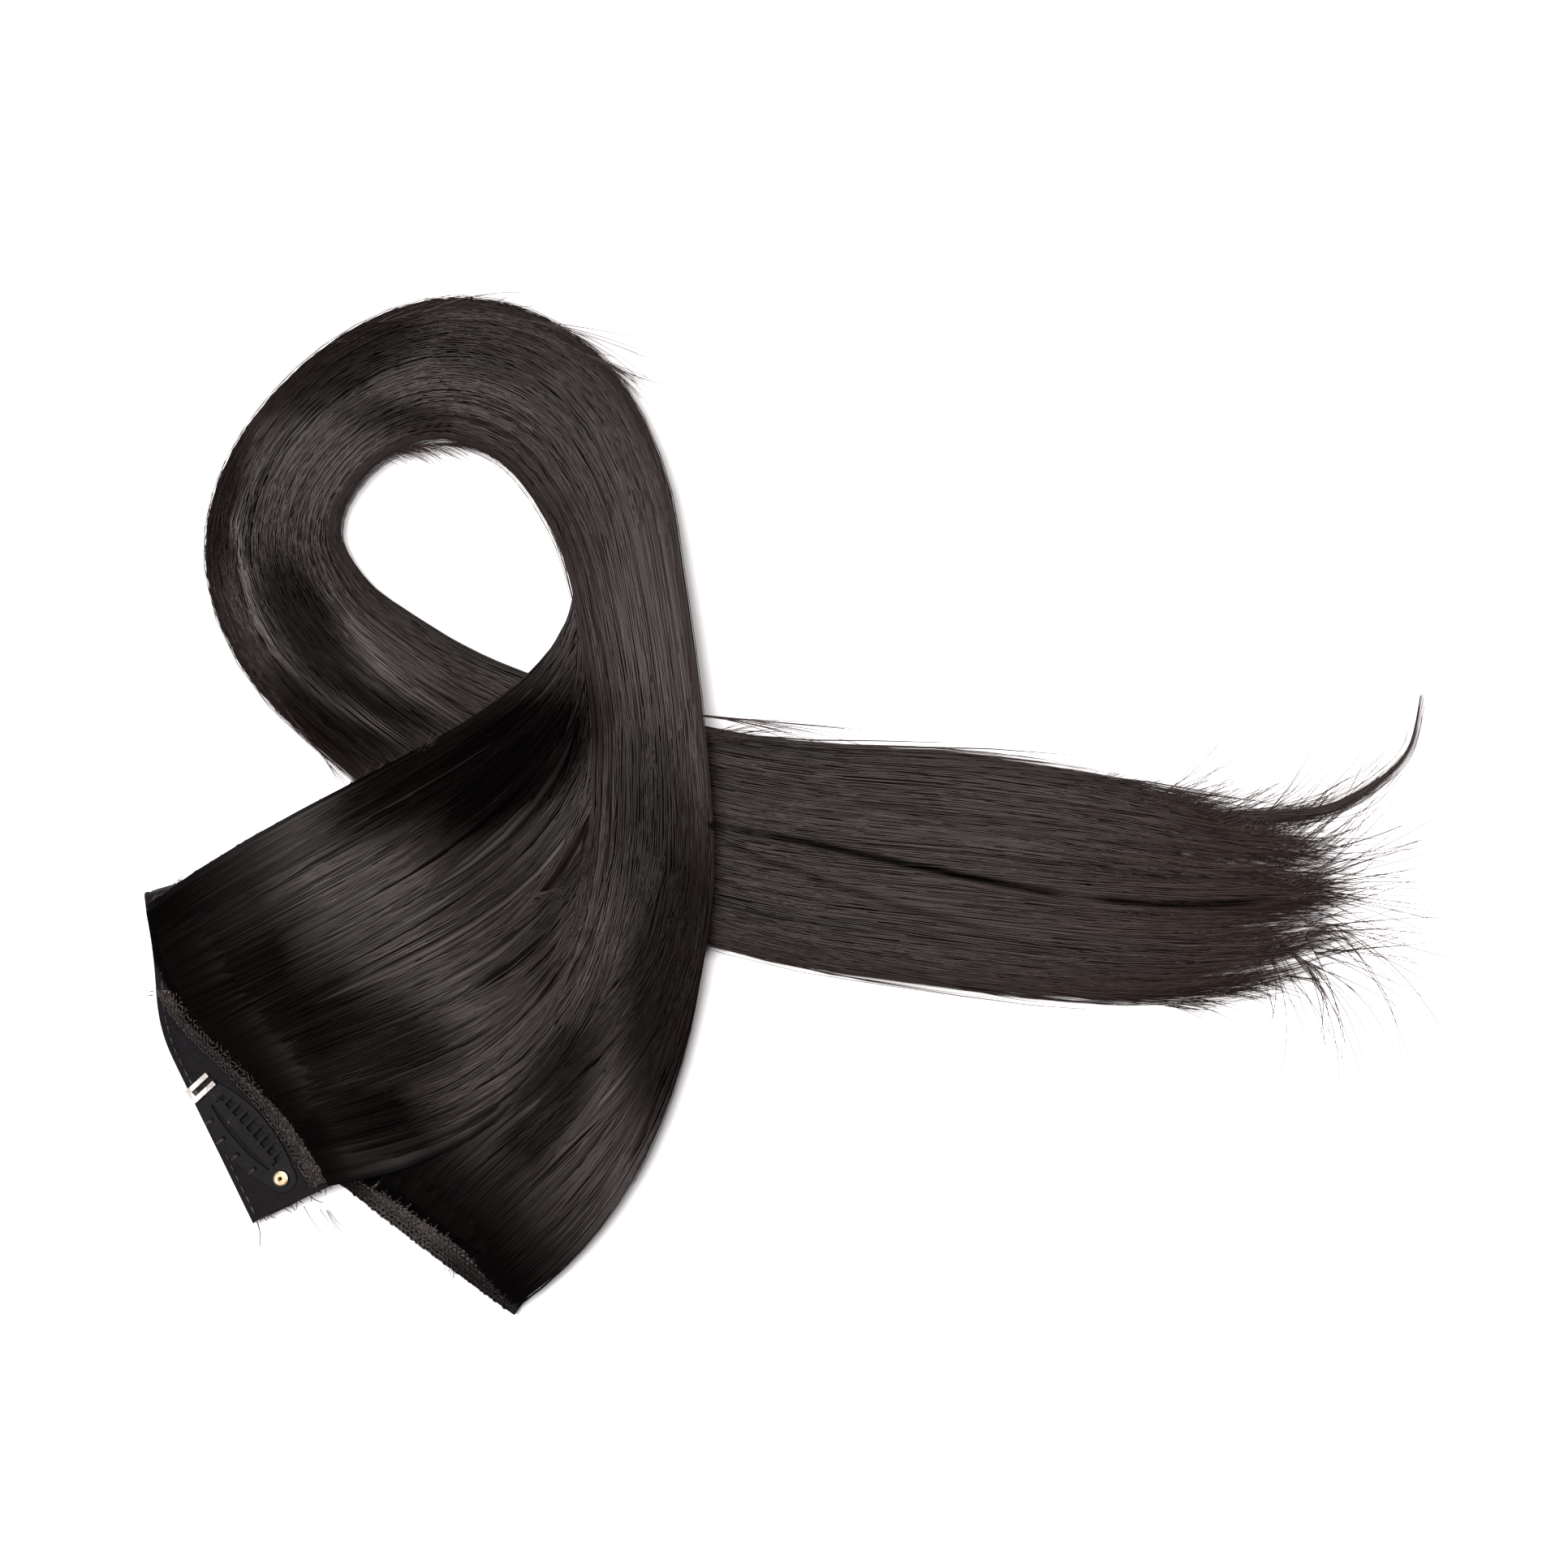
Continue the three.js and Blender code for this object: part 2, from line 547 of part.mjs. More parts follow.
// A hollow rivet through the frame's end, whose flange keeps the comb's tongue down.
function clipRivet() {
  const top = hoodBottom + RIVET_FLANGE_THICKNESS;
  const profile = [
    [RIVET_BORE, SEAT_GAP],
    [RIVET_RADIUS, SEAT_GAP],
    [RIVET_RADIUS, hoodBottom],
    [RIVET_FLANGE, hoodBottom],
    [RIVET_FLANGE, top - RIVET_FLANGE_THICKNESS / 3],
    [RIVET_FLANGE * 0.8, top],
    [RIVET_BORE * 1.5, top],
    [RIVET_BORE, top - RIVET_FLANGE_THICKNESS / 2],
    [RIVET_BORE, SEAT_GAP],
  ].map(([r, z]) => new THREE.Vector2(r, z));
  return new THREE.LatheGeometry(profile, 20).rotateX(Math.PI / 2).translate(clipEndCentre, 0, 0);
}

// The bright loop at the other end: a flat U over the comb's tongue, with a leg down to the frame.
function clipLoop() {
  const far = -CLIP_LENGTH / 2 + SEAT_GAP;
  const near = far + 2 * LOOP_BAR + LOOP_SLOT;
  const [low, high] = [-LOOP_WIDTH / 2, LOOP_WIDTH / 2];
  const outline = new THREE.Shape()
    .moveTo(far, low)
    .lineTo(near, low)
    .lineTo(near, high)
    .lineTo(near - LOOP_BAR, high)
    .lineTo(near - LOOP_BAR, low + LOOP_BAR)
    .lineTo(far + LOOP_BAR, low + LOOP_BAR)
    .lineTo(far + LOOP_BAR, high)
    .lineTo(far, high);
  const leg = new THREE.Shape()
    .moveTo(far + LOOP_BAR, low)
    .lineTo(near, low)
    .lineTo(near, low + LOOP_BAR)
    .lineTo(far + LOOP_BAR, low + LOOP_BAR);
  const legBottom = SEAT_GAP + PLATE_THICKNESS + SEAT_GAP;
  const legHeight = hoodBottom + RIVET_FLANGE_THICKNESS / 2 - legBottom;
  return geometryOf(
    fused([plate(outline, hoodBottom, RIVET_FLANGE_THICKNESS), plate(leg, legBottom, legHeight)]),
  );
}

// A clip that the extension hides, as one plain piece: the same outline, slotted between its teeth.
function hiddenClip() {
  const outline = clipOutline();
  const slot = (TOOTH_PITCH - TOOTH_WIDTH) / 2;
  for (let i = 1; i < toothCount; i++) {
    const x = (i - toothCount / 2) * TOOTH_PITCH;
    const [back, reach] = [BACK_BAR - clipEdge(x), clipEdge(x) - FRONT_BAR];
    outline.holes.push(
      new THREE.Path()
        .moveTo(x - slot, back)
        .lineTo(x - slot, reach)
        .lineTo(x + slot, reach)
        .lineTo(x + slot, back),
    );
  }
  return plate(outline, SEAT_GAP, HIDDEN_CLIP_THICKNESS);
}

// The model

const material = (color, roughness, metalness = 0) =>
  new THREE.MeshStandardMaterial({ color, roughness, metalness });
const hairBrown = material(0x241c1a, 0.45);
const bandBlack = material(0x1b1b1e, 0.75);
const trackGrey = material(0x2b2827, 0.85);
const paintedBlack = material(0x18181c, 0.4, 0.6);
const brightSteel = material(0xd8d6d2, 0.25, 1);
const brass = material(0xc9b48a, 0.3, 1);

function mesh(name, geometry, finish) {
  const made = new THREE.Mesh(geometry, finish);
  made.name = name;
  return made;
}

// A group with a clip's own axes, seated on a half of the band at a distance from the fold and from
// the free edge. turned seats it on the band's under face.
function clipSeat(half, distance, over, skewDegrees, turned) {
  const frame = bandAt(half, distance);
  const up = turned ? frame.up.clone().negate() : frame.up;
  const along = frame.along.clone().applyAxisAngle(up, radians(skewDegrees));
  const seat = new THREE.Group();
  seat.position.copy(frame.edge);
  seat.position.addScaledVector(frame.over, over).addScaledVector(up, BAND_THICKNESS / 2);
  seat.quaternion.setFromRotationMatrix(new THREE.Matrix4().makeBasis(along, up.clone().cross(along), up));
  return seat;
}

function buildExtension() {
  const extension = new THREE.Group();
  extension.add(
    mesh("weft_band", bandGeometry(0), bandBlack),
    mesh("upper_track", upperTrackGeometry(0), trackGrey),
    mesh("lower_track", lowerTrackGeometry(0), trackGrey),
    mesh("hair", hairGeometry(), hairBrown),
  );
  const fromEnd = CLIP_FROM_END + CLIP_LENGTH / 2;
  const clip = clipSeat("upper", UPPER_LENGTH - fromEnd, CLIP_FROM_EDGE, CLIP_SKEW_DEG, false);
  clip.add(
    mesh("clip_frame", clipFrame(), paintedBlack),
    mesh("clip_comb", clipComb(), paintedBlack),
    mesh("clip_rivet", clipRivet(), brass),
    mesh("clip_loop", clipLoop(), brightSteel),
  );
  const bandLength = UPPER_LENGTH + Math.PI * foldRadius + LOWER_LENGTH;
  const middle = LOWER_LENGTH - bandLength / 2;
  const middleClip = clipSeat("lower", middle, BAND_WIDTH / 2, 0, true);
  middleClip.add(mesh("hidden_clip_middle", hiddenClip(), paintedBlack));
  const endClip = clipSeat("lower", LOWER_LENGTH - fromEnd, BAND_WIDTH / 2, 0, true);
  endClip.add(mesh("hidden_clip_end", hiddenClip(), paintedBlack));
  extension.add(clip, middleClip, endClip);

  const box = new THREE.Box3().setFromObject(extension, true);
  extension.position.set(-(box.min.x + box.max.x) / 2, -(box.min.y + box.max.y) / 2, -box.min.z);
  return extension;
}

export default buildExtension();
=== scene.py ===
"""A clip-in hair extension, dressed for its picture: hair in locks and strands, a woven sewing band
with its sewn tracks, and the finishes of its snap comb clip. Sizes in the tables are millimetres."""
import json
import math

import bpy
import numpy as np
from bpy.props import FloatProperty, FloatVectorProperty, IntProperty, PointerProperty
from bpy.types import Operator, Panel, PropertyGroup
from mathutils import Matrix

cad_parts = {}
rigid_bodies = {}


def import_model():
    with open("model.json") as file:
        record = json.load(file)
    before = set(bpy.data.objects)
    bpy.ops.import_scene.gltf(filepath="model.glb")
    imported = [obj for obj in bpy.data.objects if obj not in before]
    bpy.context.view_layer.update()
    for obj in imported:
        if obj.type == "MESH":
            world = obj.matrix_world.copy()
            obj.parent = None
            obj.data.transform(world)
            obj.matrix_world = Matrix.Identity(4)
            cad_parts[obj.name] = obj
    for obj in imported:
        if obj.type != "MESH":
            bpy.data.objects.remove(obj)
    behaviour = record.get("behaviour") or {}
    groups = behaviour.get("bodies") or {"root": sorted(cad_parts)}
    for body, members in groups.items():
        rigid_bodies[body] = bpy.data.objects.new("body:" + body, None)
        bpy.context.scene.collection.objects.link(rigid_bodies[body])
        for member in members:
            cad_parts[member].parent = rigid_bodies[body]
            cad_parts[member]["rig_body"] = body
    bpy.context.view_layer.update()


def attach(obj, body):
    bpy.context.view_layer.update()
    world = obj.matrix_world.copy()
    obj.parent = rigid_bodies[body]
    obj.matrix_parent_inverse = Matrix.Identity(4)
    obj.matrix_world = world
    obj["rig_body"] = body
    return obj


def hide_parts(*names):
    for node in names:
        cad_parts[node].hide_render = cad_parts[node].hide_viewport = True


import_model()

bl_info = {
    "name": "Clip-in hair extension",
    "version": (1, 0, 0),
    "blender": (4, 5, 0),
    "location": "3D View > Sidebar > Hairpiece",
    "description": "Dresses the extension's solids with hair, woven cloth, thread and metal finishes",
    "category": "Object",
}

MM = 0.001
UP = np.array([0.0, 0.0, 1.0])

# The layout of the solids

HAIR_LENGTH = 550.0
BUNDLE_WIDTH = 30.0
BUNDLE_THICKNESS = 13.0
ROOT_THICKNESS = 4.4
BAND_WIDTH = 20.5
BAND_THICKNESS = 1.4
UPPER_LENGTH = 74.0
LOWER_LENGTH = 123.0
FOLD_RADIUS = 3.0
LOWER_HEIGHT = 3.3
UPPER_HEIGHT = 9.3
TRACK_WIDTH = 4.8
TRACK_THICKNESS = 1.4
TRACK_INSET = 1.8
TRACK_END = 0.985
COVERED = 8.0 / UPPER_LENGTH
SEAT_GAP = 0.3
FOLD_PLACE = np.array([-141.0146, -18.7736, 0.0])  # of the band's fold, in the row frame

# at, heading, tilt, height of the upper half's free edge, and at, heading of the lower half's
UPPER_LAY = np.array([[0, -80, 0, 1], [0.24, -86, 4, 0.88], [0.5, -64, 13, 0.48], [1, -64, 13, 0.48]])
LOWER_LAY = np.array([[0, -68], [0.3, -58], [0.62, -38], [1, -36]])

# x, y, width, thickness and lift of the gathered hair from its neck to its tips, as shares
LAY = np.array([
    [0.193, -0.026, 1.2, 0.8, 0.5],
    [0.201, 0.013, 0.93, 0.92, 0.88],
    [0.202, 0.049, 0.85, 1, 0.92],
    [0.2, 0.081, 0.83, 1, 0.78],
    [0.1925, 0.127, 0.8, 1.05, 0.4],
    [0.184, 0.159, 0.97, 1.05, 0.2],
    [0.167, 0.1885, 1.14, 1, 0.12],
    [0.1445, 0.2045, 1.15, 0.96, 0.06],
    [0.12, 0.209, 1.09, 0.96, 0.03],
    [0.096, 0.202, 0.98, 0.97, 0],
    [0.075, 0.187, 0.9, 1, 0],
    [0.059, 0.1655, 0.93, 1, 0],
    [0.053, 0.143, 1.03, 0.96, 0],
    [0.0575, 0.122, 1.13, 0.92, 0],
    [0.071, 0.101, 1.19, 0.88, 0],
    [0.091, 0.084, 1.22, 0.85, 0],
    [0.115, 0.067, 1.31, 0.84, 0],
    [0.1445, 0.052, 1.4, 0.82, 0],
    [0.183, 0.037, 1.46, 0.8, 0],
    [0.223, 0.024, 1.51, 0.78, 0],
    [0.268, 0.015, 1.68, 0.74, 0],
    [0.317, 0.01, 1.73, 0.7, 0],
    [0.365, 0.004, 1.73, 0.68, 0],
    [0.398, 0, 1.65, 0.64, 0],
    [0.43, -0.003, 1.42, 0.56, 0],
    [0.459, -0.003, 1.16, 0.42, 0],
    [0.479, -0.003, 0.9, 0.25, 0],
])
for _ in range(2):  # widths, thicknesses and lifts flow into each other
    LAY[1:-1, 2:] = LAY[1:-1, 2:] / 2 + (LAY[:-2, 2:] + LAY[2:, 2:]) / 4
LOOP_ROW = 7
TAIL_ROW = 20

# Where the hair of each half runs: its root's share of the half, the turn off the band, the row
# where it has joined the bundle, its tip's row, and its places across and up at neck, loop and tail.
RUNS = {
    "upper": np.array([
        [1 / 6, 26, 5, 25.3, 0.5, -1, 0.8, -1, 1, -1],
        [3 / 6, 4, 3.6, 25.9, 0.9, -0.4, 0.1, -1, 0.34, -1],
        [5 / 6, -14, 2, 26, 0.8, 0.9, 1, 0.4, 0.67, -0.6],
        [1, -16, 2, 26, 0.45, 1, 0.8, 0.7, 0.4, -0.6],
    ]),
    "lower": np.array([
        [1 / 8, 10, 2, 25, 0, -0.9, -0.6, -1, -0.34, -1],
        [3 / 8, 10, 1.5, 25.6, 0.3, 0.5, 0.4, 1, 0, -0.6],
        [5 / 8, 0, 1, 26, -0.35, 1, -0.3, 1, -0.67, -0.6],
        [7 / 8, 0, 0.8, 25.4, -1, 0, -1, 0, -1, -1],
        [1, -6, 0.6, 25.4, -1, -0.2, -1, 0, -1, -1],
    ]),
}
# How many rows the tips reach on or fall short at places across the tail, from right to left
TIP_LINE = np.array([[-1, -0.6, -0.25, 0, 0.4, 1], [-0.9, 0.35, -0.45, 0.2, -0.25, -0.9]])
ROW_STEP = 11.0  # millimetres to a row past the last
# A hair's samples are staggered by the fraction of its share times one of these
ROW_STAGGER, FAN_STAGGER = 997, 613
PIECE_TRIANGLES = 190000  # strands are split into pieces of fewer
NO_FACES = np.zeros((0, 3), int)
# A lock's width and thickness as shares of the bundle's
LOCK_WIDE = 0.36
LOCK_DEEP = 0.66
FAN_FULLNESS = 0.3
# How far back over the track the strands may start, in millimetres, at shares of the half
ROOTS_BACK = {
    "upper": ([0, 0.2, 0.55, 0.75, 1], [0.3, 2.2, 3.6, 1.2, 0.4]),
    "lower": ([0, 0.5, 0.6, 0.72, 0.86, 0.94, 1], [2, 4.5, 4.2, 2.6, 1.8, 4.5, 5.5]),
}
# Samples along the hair lie closer together round the loop: share of the samples, of the rows
SPACING = np.array([[0, 0.14, 0.64, 1], [0, 0.1, 0.53, 1]])
# How the sheet of hair swells off the band and dips before it joins the bundle, in millimetres at
# each share: the crest's height and place along the sheet, the dip, the swell to the left, and how
# straight the hair leaves the band and enters the bundle
FAN_SHAPE = {
    "upper": np.array([
        [0, 5, 0.27, 2, 1.2, 1.4, 1.15],
        [0.25, 5.5, 0.31, 1.6, 0, 1.35, 1.2],
        [0.5, 5, 0.36, 1, 0, 1.1, 1.55],
        [0.75, 4, 0.42, 1, 0, 1, 1.75],
        [1, 0.3, 0.4, 0, -1, 1, 1.7],
    ]),
    "lower": np.array([
        [0, 0, 0.3, 0, 0, 1, 1.5],
        [0.4, 1.5, 0.32, 2, 0, 1, 1.5],
        [0.55, 4.5, 0.32, 0.5, 0, 1, 1.5],
        [0.75, 4, 0.3, 0.5, -1.5, 1.05, 1.3],
        [1, 2.2, 0.3, 0, -5.5, 1.05, 1.1],
    ]),
}

# Where the tail's locks part, x and y in the row frame with the strength of the dark line of painted
# shade between them, and lines where a lock rides up on the next, with the rise in millimetres and
# the half width; the ridges also get a painted highlight
PARTINGS = (
    (1.4, np.array([
        [-18.3, -3.6], [6.3, -8.1], [33.1, -13.4], [56.3, -18.8], [77.7, -20.6], [113.5, -19.7],
    ])),
    (0.7, np.array([[-15, -7], [8.3, -16.1], [28.1, -22.5], [54, -29]])),
    (0.5, np.array([[14, 1.5], [30, -1.8], [50, -5.5], [70, -8]])),
)
RIDGES = (
    (1.6, 1.1, np.array([
        [-120.7, 63.4], [-118.7, 52.6], [-114.9, 40.2], [-108, 30.3], [-99, 23.2], [-88.3, 18.2],
    ])),
    (1.0, 1.4, np.array([[-95, 41], [-88.5, 31], [-78, 23.5], [-70, 19]])),
)

# Patches of painted shade, over the hair before the loop and after it: x and y in the row frame, the
# heading in degrees, the half length and half width along and across it, and the depth, under 0 for a
# painted highlight
PAINTED_SHADE_AND_HIGHLIGHT_PATCHES = {
    "before": np.array([
        [-60, 10, 38, 27, 14.5, 1.0],
        [-78, 8, 30, 28, 10, 0.95],
        [-110, -41, -38, 25, 13, 0.95],
        [-86.5, -68.5, -30, 15, 9, 0.95],
        [-95, -50, -10, 25, 12, 0.8],
        [-46, -13, 60, 13, 4, 0.6],
        [-52, -32, 92, 14, 4, 0.5],
        [-29, -3, 95, 24, 11, 0.6],
        [-25, -38, 82, 34, 11, 0.8],
        [-51, -63, 62, 20, 8, 0.8],
        [-103.5, -16, -20, 12, 8, -0.55],
        [-83, -14, -30, 9, 7, -0.3],
        [-42.5, 12, 92, 26, 2, -0.3],
        [-28, 52, 97, 36, 10, -0.3],
    ]),
    "after": np.array([
        [-97, 19, -32, 22, 11, 0.95],
        [-84, 16, 28, 20, 7, 0.9],
        [-105.5, 42, -60, 17, 6.5, 0.8],
        [-85.5, 86, -8, 15, 4.5, 0.7],
        [-97, 98, 32, 25, 8, 0.85],
        [-64, 101, -14, 22, 7, 0.45],
        [-124, 70, 82, 26, 6, 0.85],
        [-38, 91, -56, 26, 4, 0.5],
    ]),
}
# Where a patch of shade and a gleam begin to fade, and where both end, in shares of their size
SHADE_FLAT, GLEAM_FLAT, PATCH_END = 0.65, 0.2, 1.3
# Painted shade and painted highlights: the shade at the rims, the least shade on the lock bodies, the
# highlight for each millimetre of a ridge, and the highlight's tone
RIM_SHADE = 0.75  # at the bundle's edges
BODY_SHADE = 0.6  # the least on the lock bodies, which show only between the strands
RIDGE_GLEAM = 0.6  # taken off the shade for each millimetre that a ridge rises
GLEAM_TONE = (0.06, 0.056, 0.054)

# The lock of tips that curls away: x, y, size and lift
CURL = np.array([
    [0.425, 0.03, 1.5, 0.8],
    [0.455, 0.0305, 1.4, 0.8],
    [0.477, 0.034, 0.95, 0.8],
    [0.495, 0.044, 0.5, 1],
    [0.508, 0.058, 0.28, 1.2],
    [0.513, 0.08, 0.2, 1.4],
])
CURL_THICKNESS = 2.2

# Groups of loose wisps in the row frame: how many, the line they start from (x, y to x, y), its
# height, their heading and its spread in degrees, their length and how far they bend
WISPS = np.array([
    [70, 80, 2, 104, -6, 5, 14, 16, 24, 14],
    [40, 104, -4, 118, -12, 4, 18, 26, 34, 16],
    [46, 112, -14, 118, -34, 3, 0, 24, 36, -6],
    [12, 112, -32, 118, -36, 3, -42, 26, 32, -34],
    [40, 84, -44, 112, -37, 3, -10, 8, 14, -4],
    [110, 56, 5, 88, 0, 5, 2, 9, 18, 6],
    [36, 100, -12, 114, -18, 5, 4, 20, 44, 20],
    [26, 100, -30, 122, -26, 3, -30, 30, 44, -30],
    [50, -139.5, -21, -121, -10.2, 12.5, 50, 14, 5, -24],
    [60, -121, -10.2, -99, 1.8, 15, 50, 12, 6, -24],
    [50, -99, 1.8, -78, 12.8, 14.5, 52, 14, 7, -10],
    [120, -93, 79, -64, 81, 9, -8, 12, 11, -14],
    [26, -117, 31, -99, 8, 8, -50, 8, 12, 6],
    [40, -60, 108, -36, 96, 12, -24, 10, 20, -16],
    [40, -100, 102, -66, 109, 10, 24, 9, 18, -18],
    [12, -19, 20.5, -18, 20, 12, -5, 1.5, 50, -6],
    [14, -66, 109, -50, 106, 12, -8, 5, 44, -44],
    [10, -92, 106, -74, 110, 12, 26, 6, 34, -46],
    [14, -18, 17, -17, 14, 12, 2, 7, 22, 4],
    [5, -106, -88, -100, -89, 5, -60, 8, 12, 14],
    [3, -139, -40, -139, -42, 5, 176, 10, 3.5, 20],
    [6, -74, -100, -72.5, -101.5, 3, -110, 25, 3.5, 0],
])

# The comb clip's own axes in the row frame
CLIP_ALONG = np.array([0.66278, -0.74624, 0.062])
CLIP_OVER = np.array([0.7210, 0.6583, 0.2162])
CLIP_UP = np.array([-0.20218, -0.09861, 0.97437])
CLIP_PLACE = np.array([-118.997, -72.183, 8.295]) - 1.5 * CLIP_UP


# Curves and sections


def smooth(x, low=0.0, high=1.0):
    """0 below low, 1 above high, and eased between."""
    t = np.clip((x - low) / (high - low), 0, 1)
    return t * t * (3 - 2 * t)


def unit(v):
    """Vectors along the last axis, made one long."""
    return v / np.maximum(np.linalg.norm(v, axis=-1, keepdims=True), 1e-12)


def curved(rows, row):
    """A table at row numbers between its rows, on Catmull-Rom curves: (..., columns)."""
    row = np.asarray(row, float)
    last = len(rows) - 1
    i = np.clip(np.floor(row).astype(int), 0, last - 1)
    t = (row - i)[..., None]
    p, q, r, s = (rows[np.clip(i + k, 0, last)] for k in (-1, 0, 1, 2))
    return q + 0.5 * t * (r - p + t * (2 * p - 5 * q + 4 * r - s + t * (3 * (q - r) + s - p)))


def eased(rows, column, at):
    """A table's column at a share of its length, eased from each row to the next."""
    i = np.clip(np.searchsorted(rows[:, 0], at) - 1, 0, len(rows) - 2)
    a, b = rows[i], rows[i + 1]
    t = np.clip((at - a[..., 0]) / (b[..., 0] - a[..., 0]), 0, 1)
    return a[..., column] + (b[..., column] - a[..., column]) * t * t * (3 - 2 * t)


def wander(rng, count, samples, knots):
    """Smooth random lines, -1 to 1: values at evenly spaced knots, eased from each to the next."""
    values = rng.uniform(-1, 1, (count, knots + 1))
    at = np.linspace(0, knots, samples, endpoint=False)
    i = at.astype(int)
    t = smooth(at - i)
    return values[:, i] * (1 - t) + values[:, i + 1] * t


def plan(degrees):
    """Level unit vectors at angles in degrees from +X."""
    a = np.radians(degrees)
    return np.stack([np.cos(a), np.sin(a), np.zeros_like(a)], -1)


# The band


def half_edge(half):
    """A half's free edge from the fold, summed from its headings in small equal steps."""
    rows, length = (UPPER_LAY, UPPER_LENGTH) if half == "upper" else (LOWER_LAY, LOWER_LENGTH)
    steps = 400
    middle = (np.arange(steps) + 0.5) / steps
    walk = plan(eased(rows, 1, middle)) * length / steps
    start = plan(rows[0, 1]) * (FOLD_RADIUS + BAND_THICKNESS / 2)
    return np.vstack([start, start + np.cumsum(walk, 0)])


EDGES = {half: half_edge(half) for half in ("upper", "lower")}
LENGTHS = {"upper": UPPER_LENGTH, "lower": LOWER_LENGTH}


def band_at(half, share):
    """The free edge, the way along, the way over to the other edge and the way up, at shares."""
    share = np.asarray(share, float)
    line = EDGES[half]
    at = np.linspace(0, 1, len(line))
    edge = np.stack([np.interp(share, at, line[:, k]) for k in range(3)], -1)
    rows = UPPER_LAY if half == "upper" else LOWER_LAY
    along = plan(eased(rows, 1, share))
    beyond = np.where(share > 1, share - 1, 0)[..., None] * LENGTHS[half]
    edge = edge + along * beyond
    across = np.cross(UP, along)
    tilt = np.radians(eased(rows, 2, share)) if half == "upper" else np.zeros_like(share)
    high = UPPER_HEIGHT * eased(rows, 3, share) if half == "upper" else LOWER_HEIGHT + 0 * share
    edge[..., 2] = high
    over = across * np.cos(tilt)[..., None] + UP * np.sin(tilt)[..., None]
    return edge, along, over, np.cross(along, over)


def on_band(half, share, over, above):
    """Points at a distance over from the free edge and above the band's upper face."""
    edge, _, way, up = band_at(half, share)
    over, above = np.asarray(over, float)[..., None], np.asarray(above, float)[..., None]
    return edge + way * over + up * (BAND_THICKNESS / 2 + above)


def hair_line(half, share):
    """How far over the band the hair leaves its track. On the upper half this line swings across."""
    share = np.asarray(share, float)
    if half == "lower":
        return TRACK_INSET + TRACK_WIDTH + 0 * share
    return BAND_WIDTH * np.sin(np.clip((share - COVERED) / (1 - COVERED), 0, 1) * np.pi / 2)


# The hair's run


def bundle(row):
    """The bundle's middle, ways forward and inward, width, thickness and lift at rows. Past the last
    row it goes straight on."""
    beyond = np.maximum(np.asarray(row, float) - (len(LAY) - 1), 0)
    row = row - beyond
    here = curved(LAY, row)
    place = here[..., :2] * HAIR_LENGTH
    step = (curved(LAY, row) - curved(LAY, row - 0.05))[..., :2]
    forward = unit(np.concatenate([step, np.zeros_like(step[..., :1])], -1))
    middle = np.concatenate([place, np.zeros_like(place[..., :1])], -1)
    middle = middle + forward * ROW_STEP * beyond[..., None]
    size = here[..., 2:] * [BUNDLE_WIDTH, BUNDLE_THICKNESS, BUNDLE_THICKNESS]
    return middle, forward, np.cross(UP, forward), size[..., 0], size[..., 1], np.maximum(size[..., 2], 0)


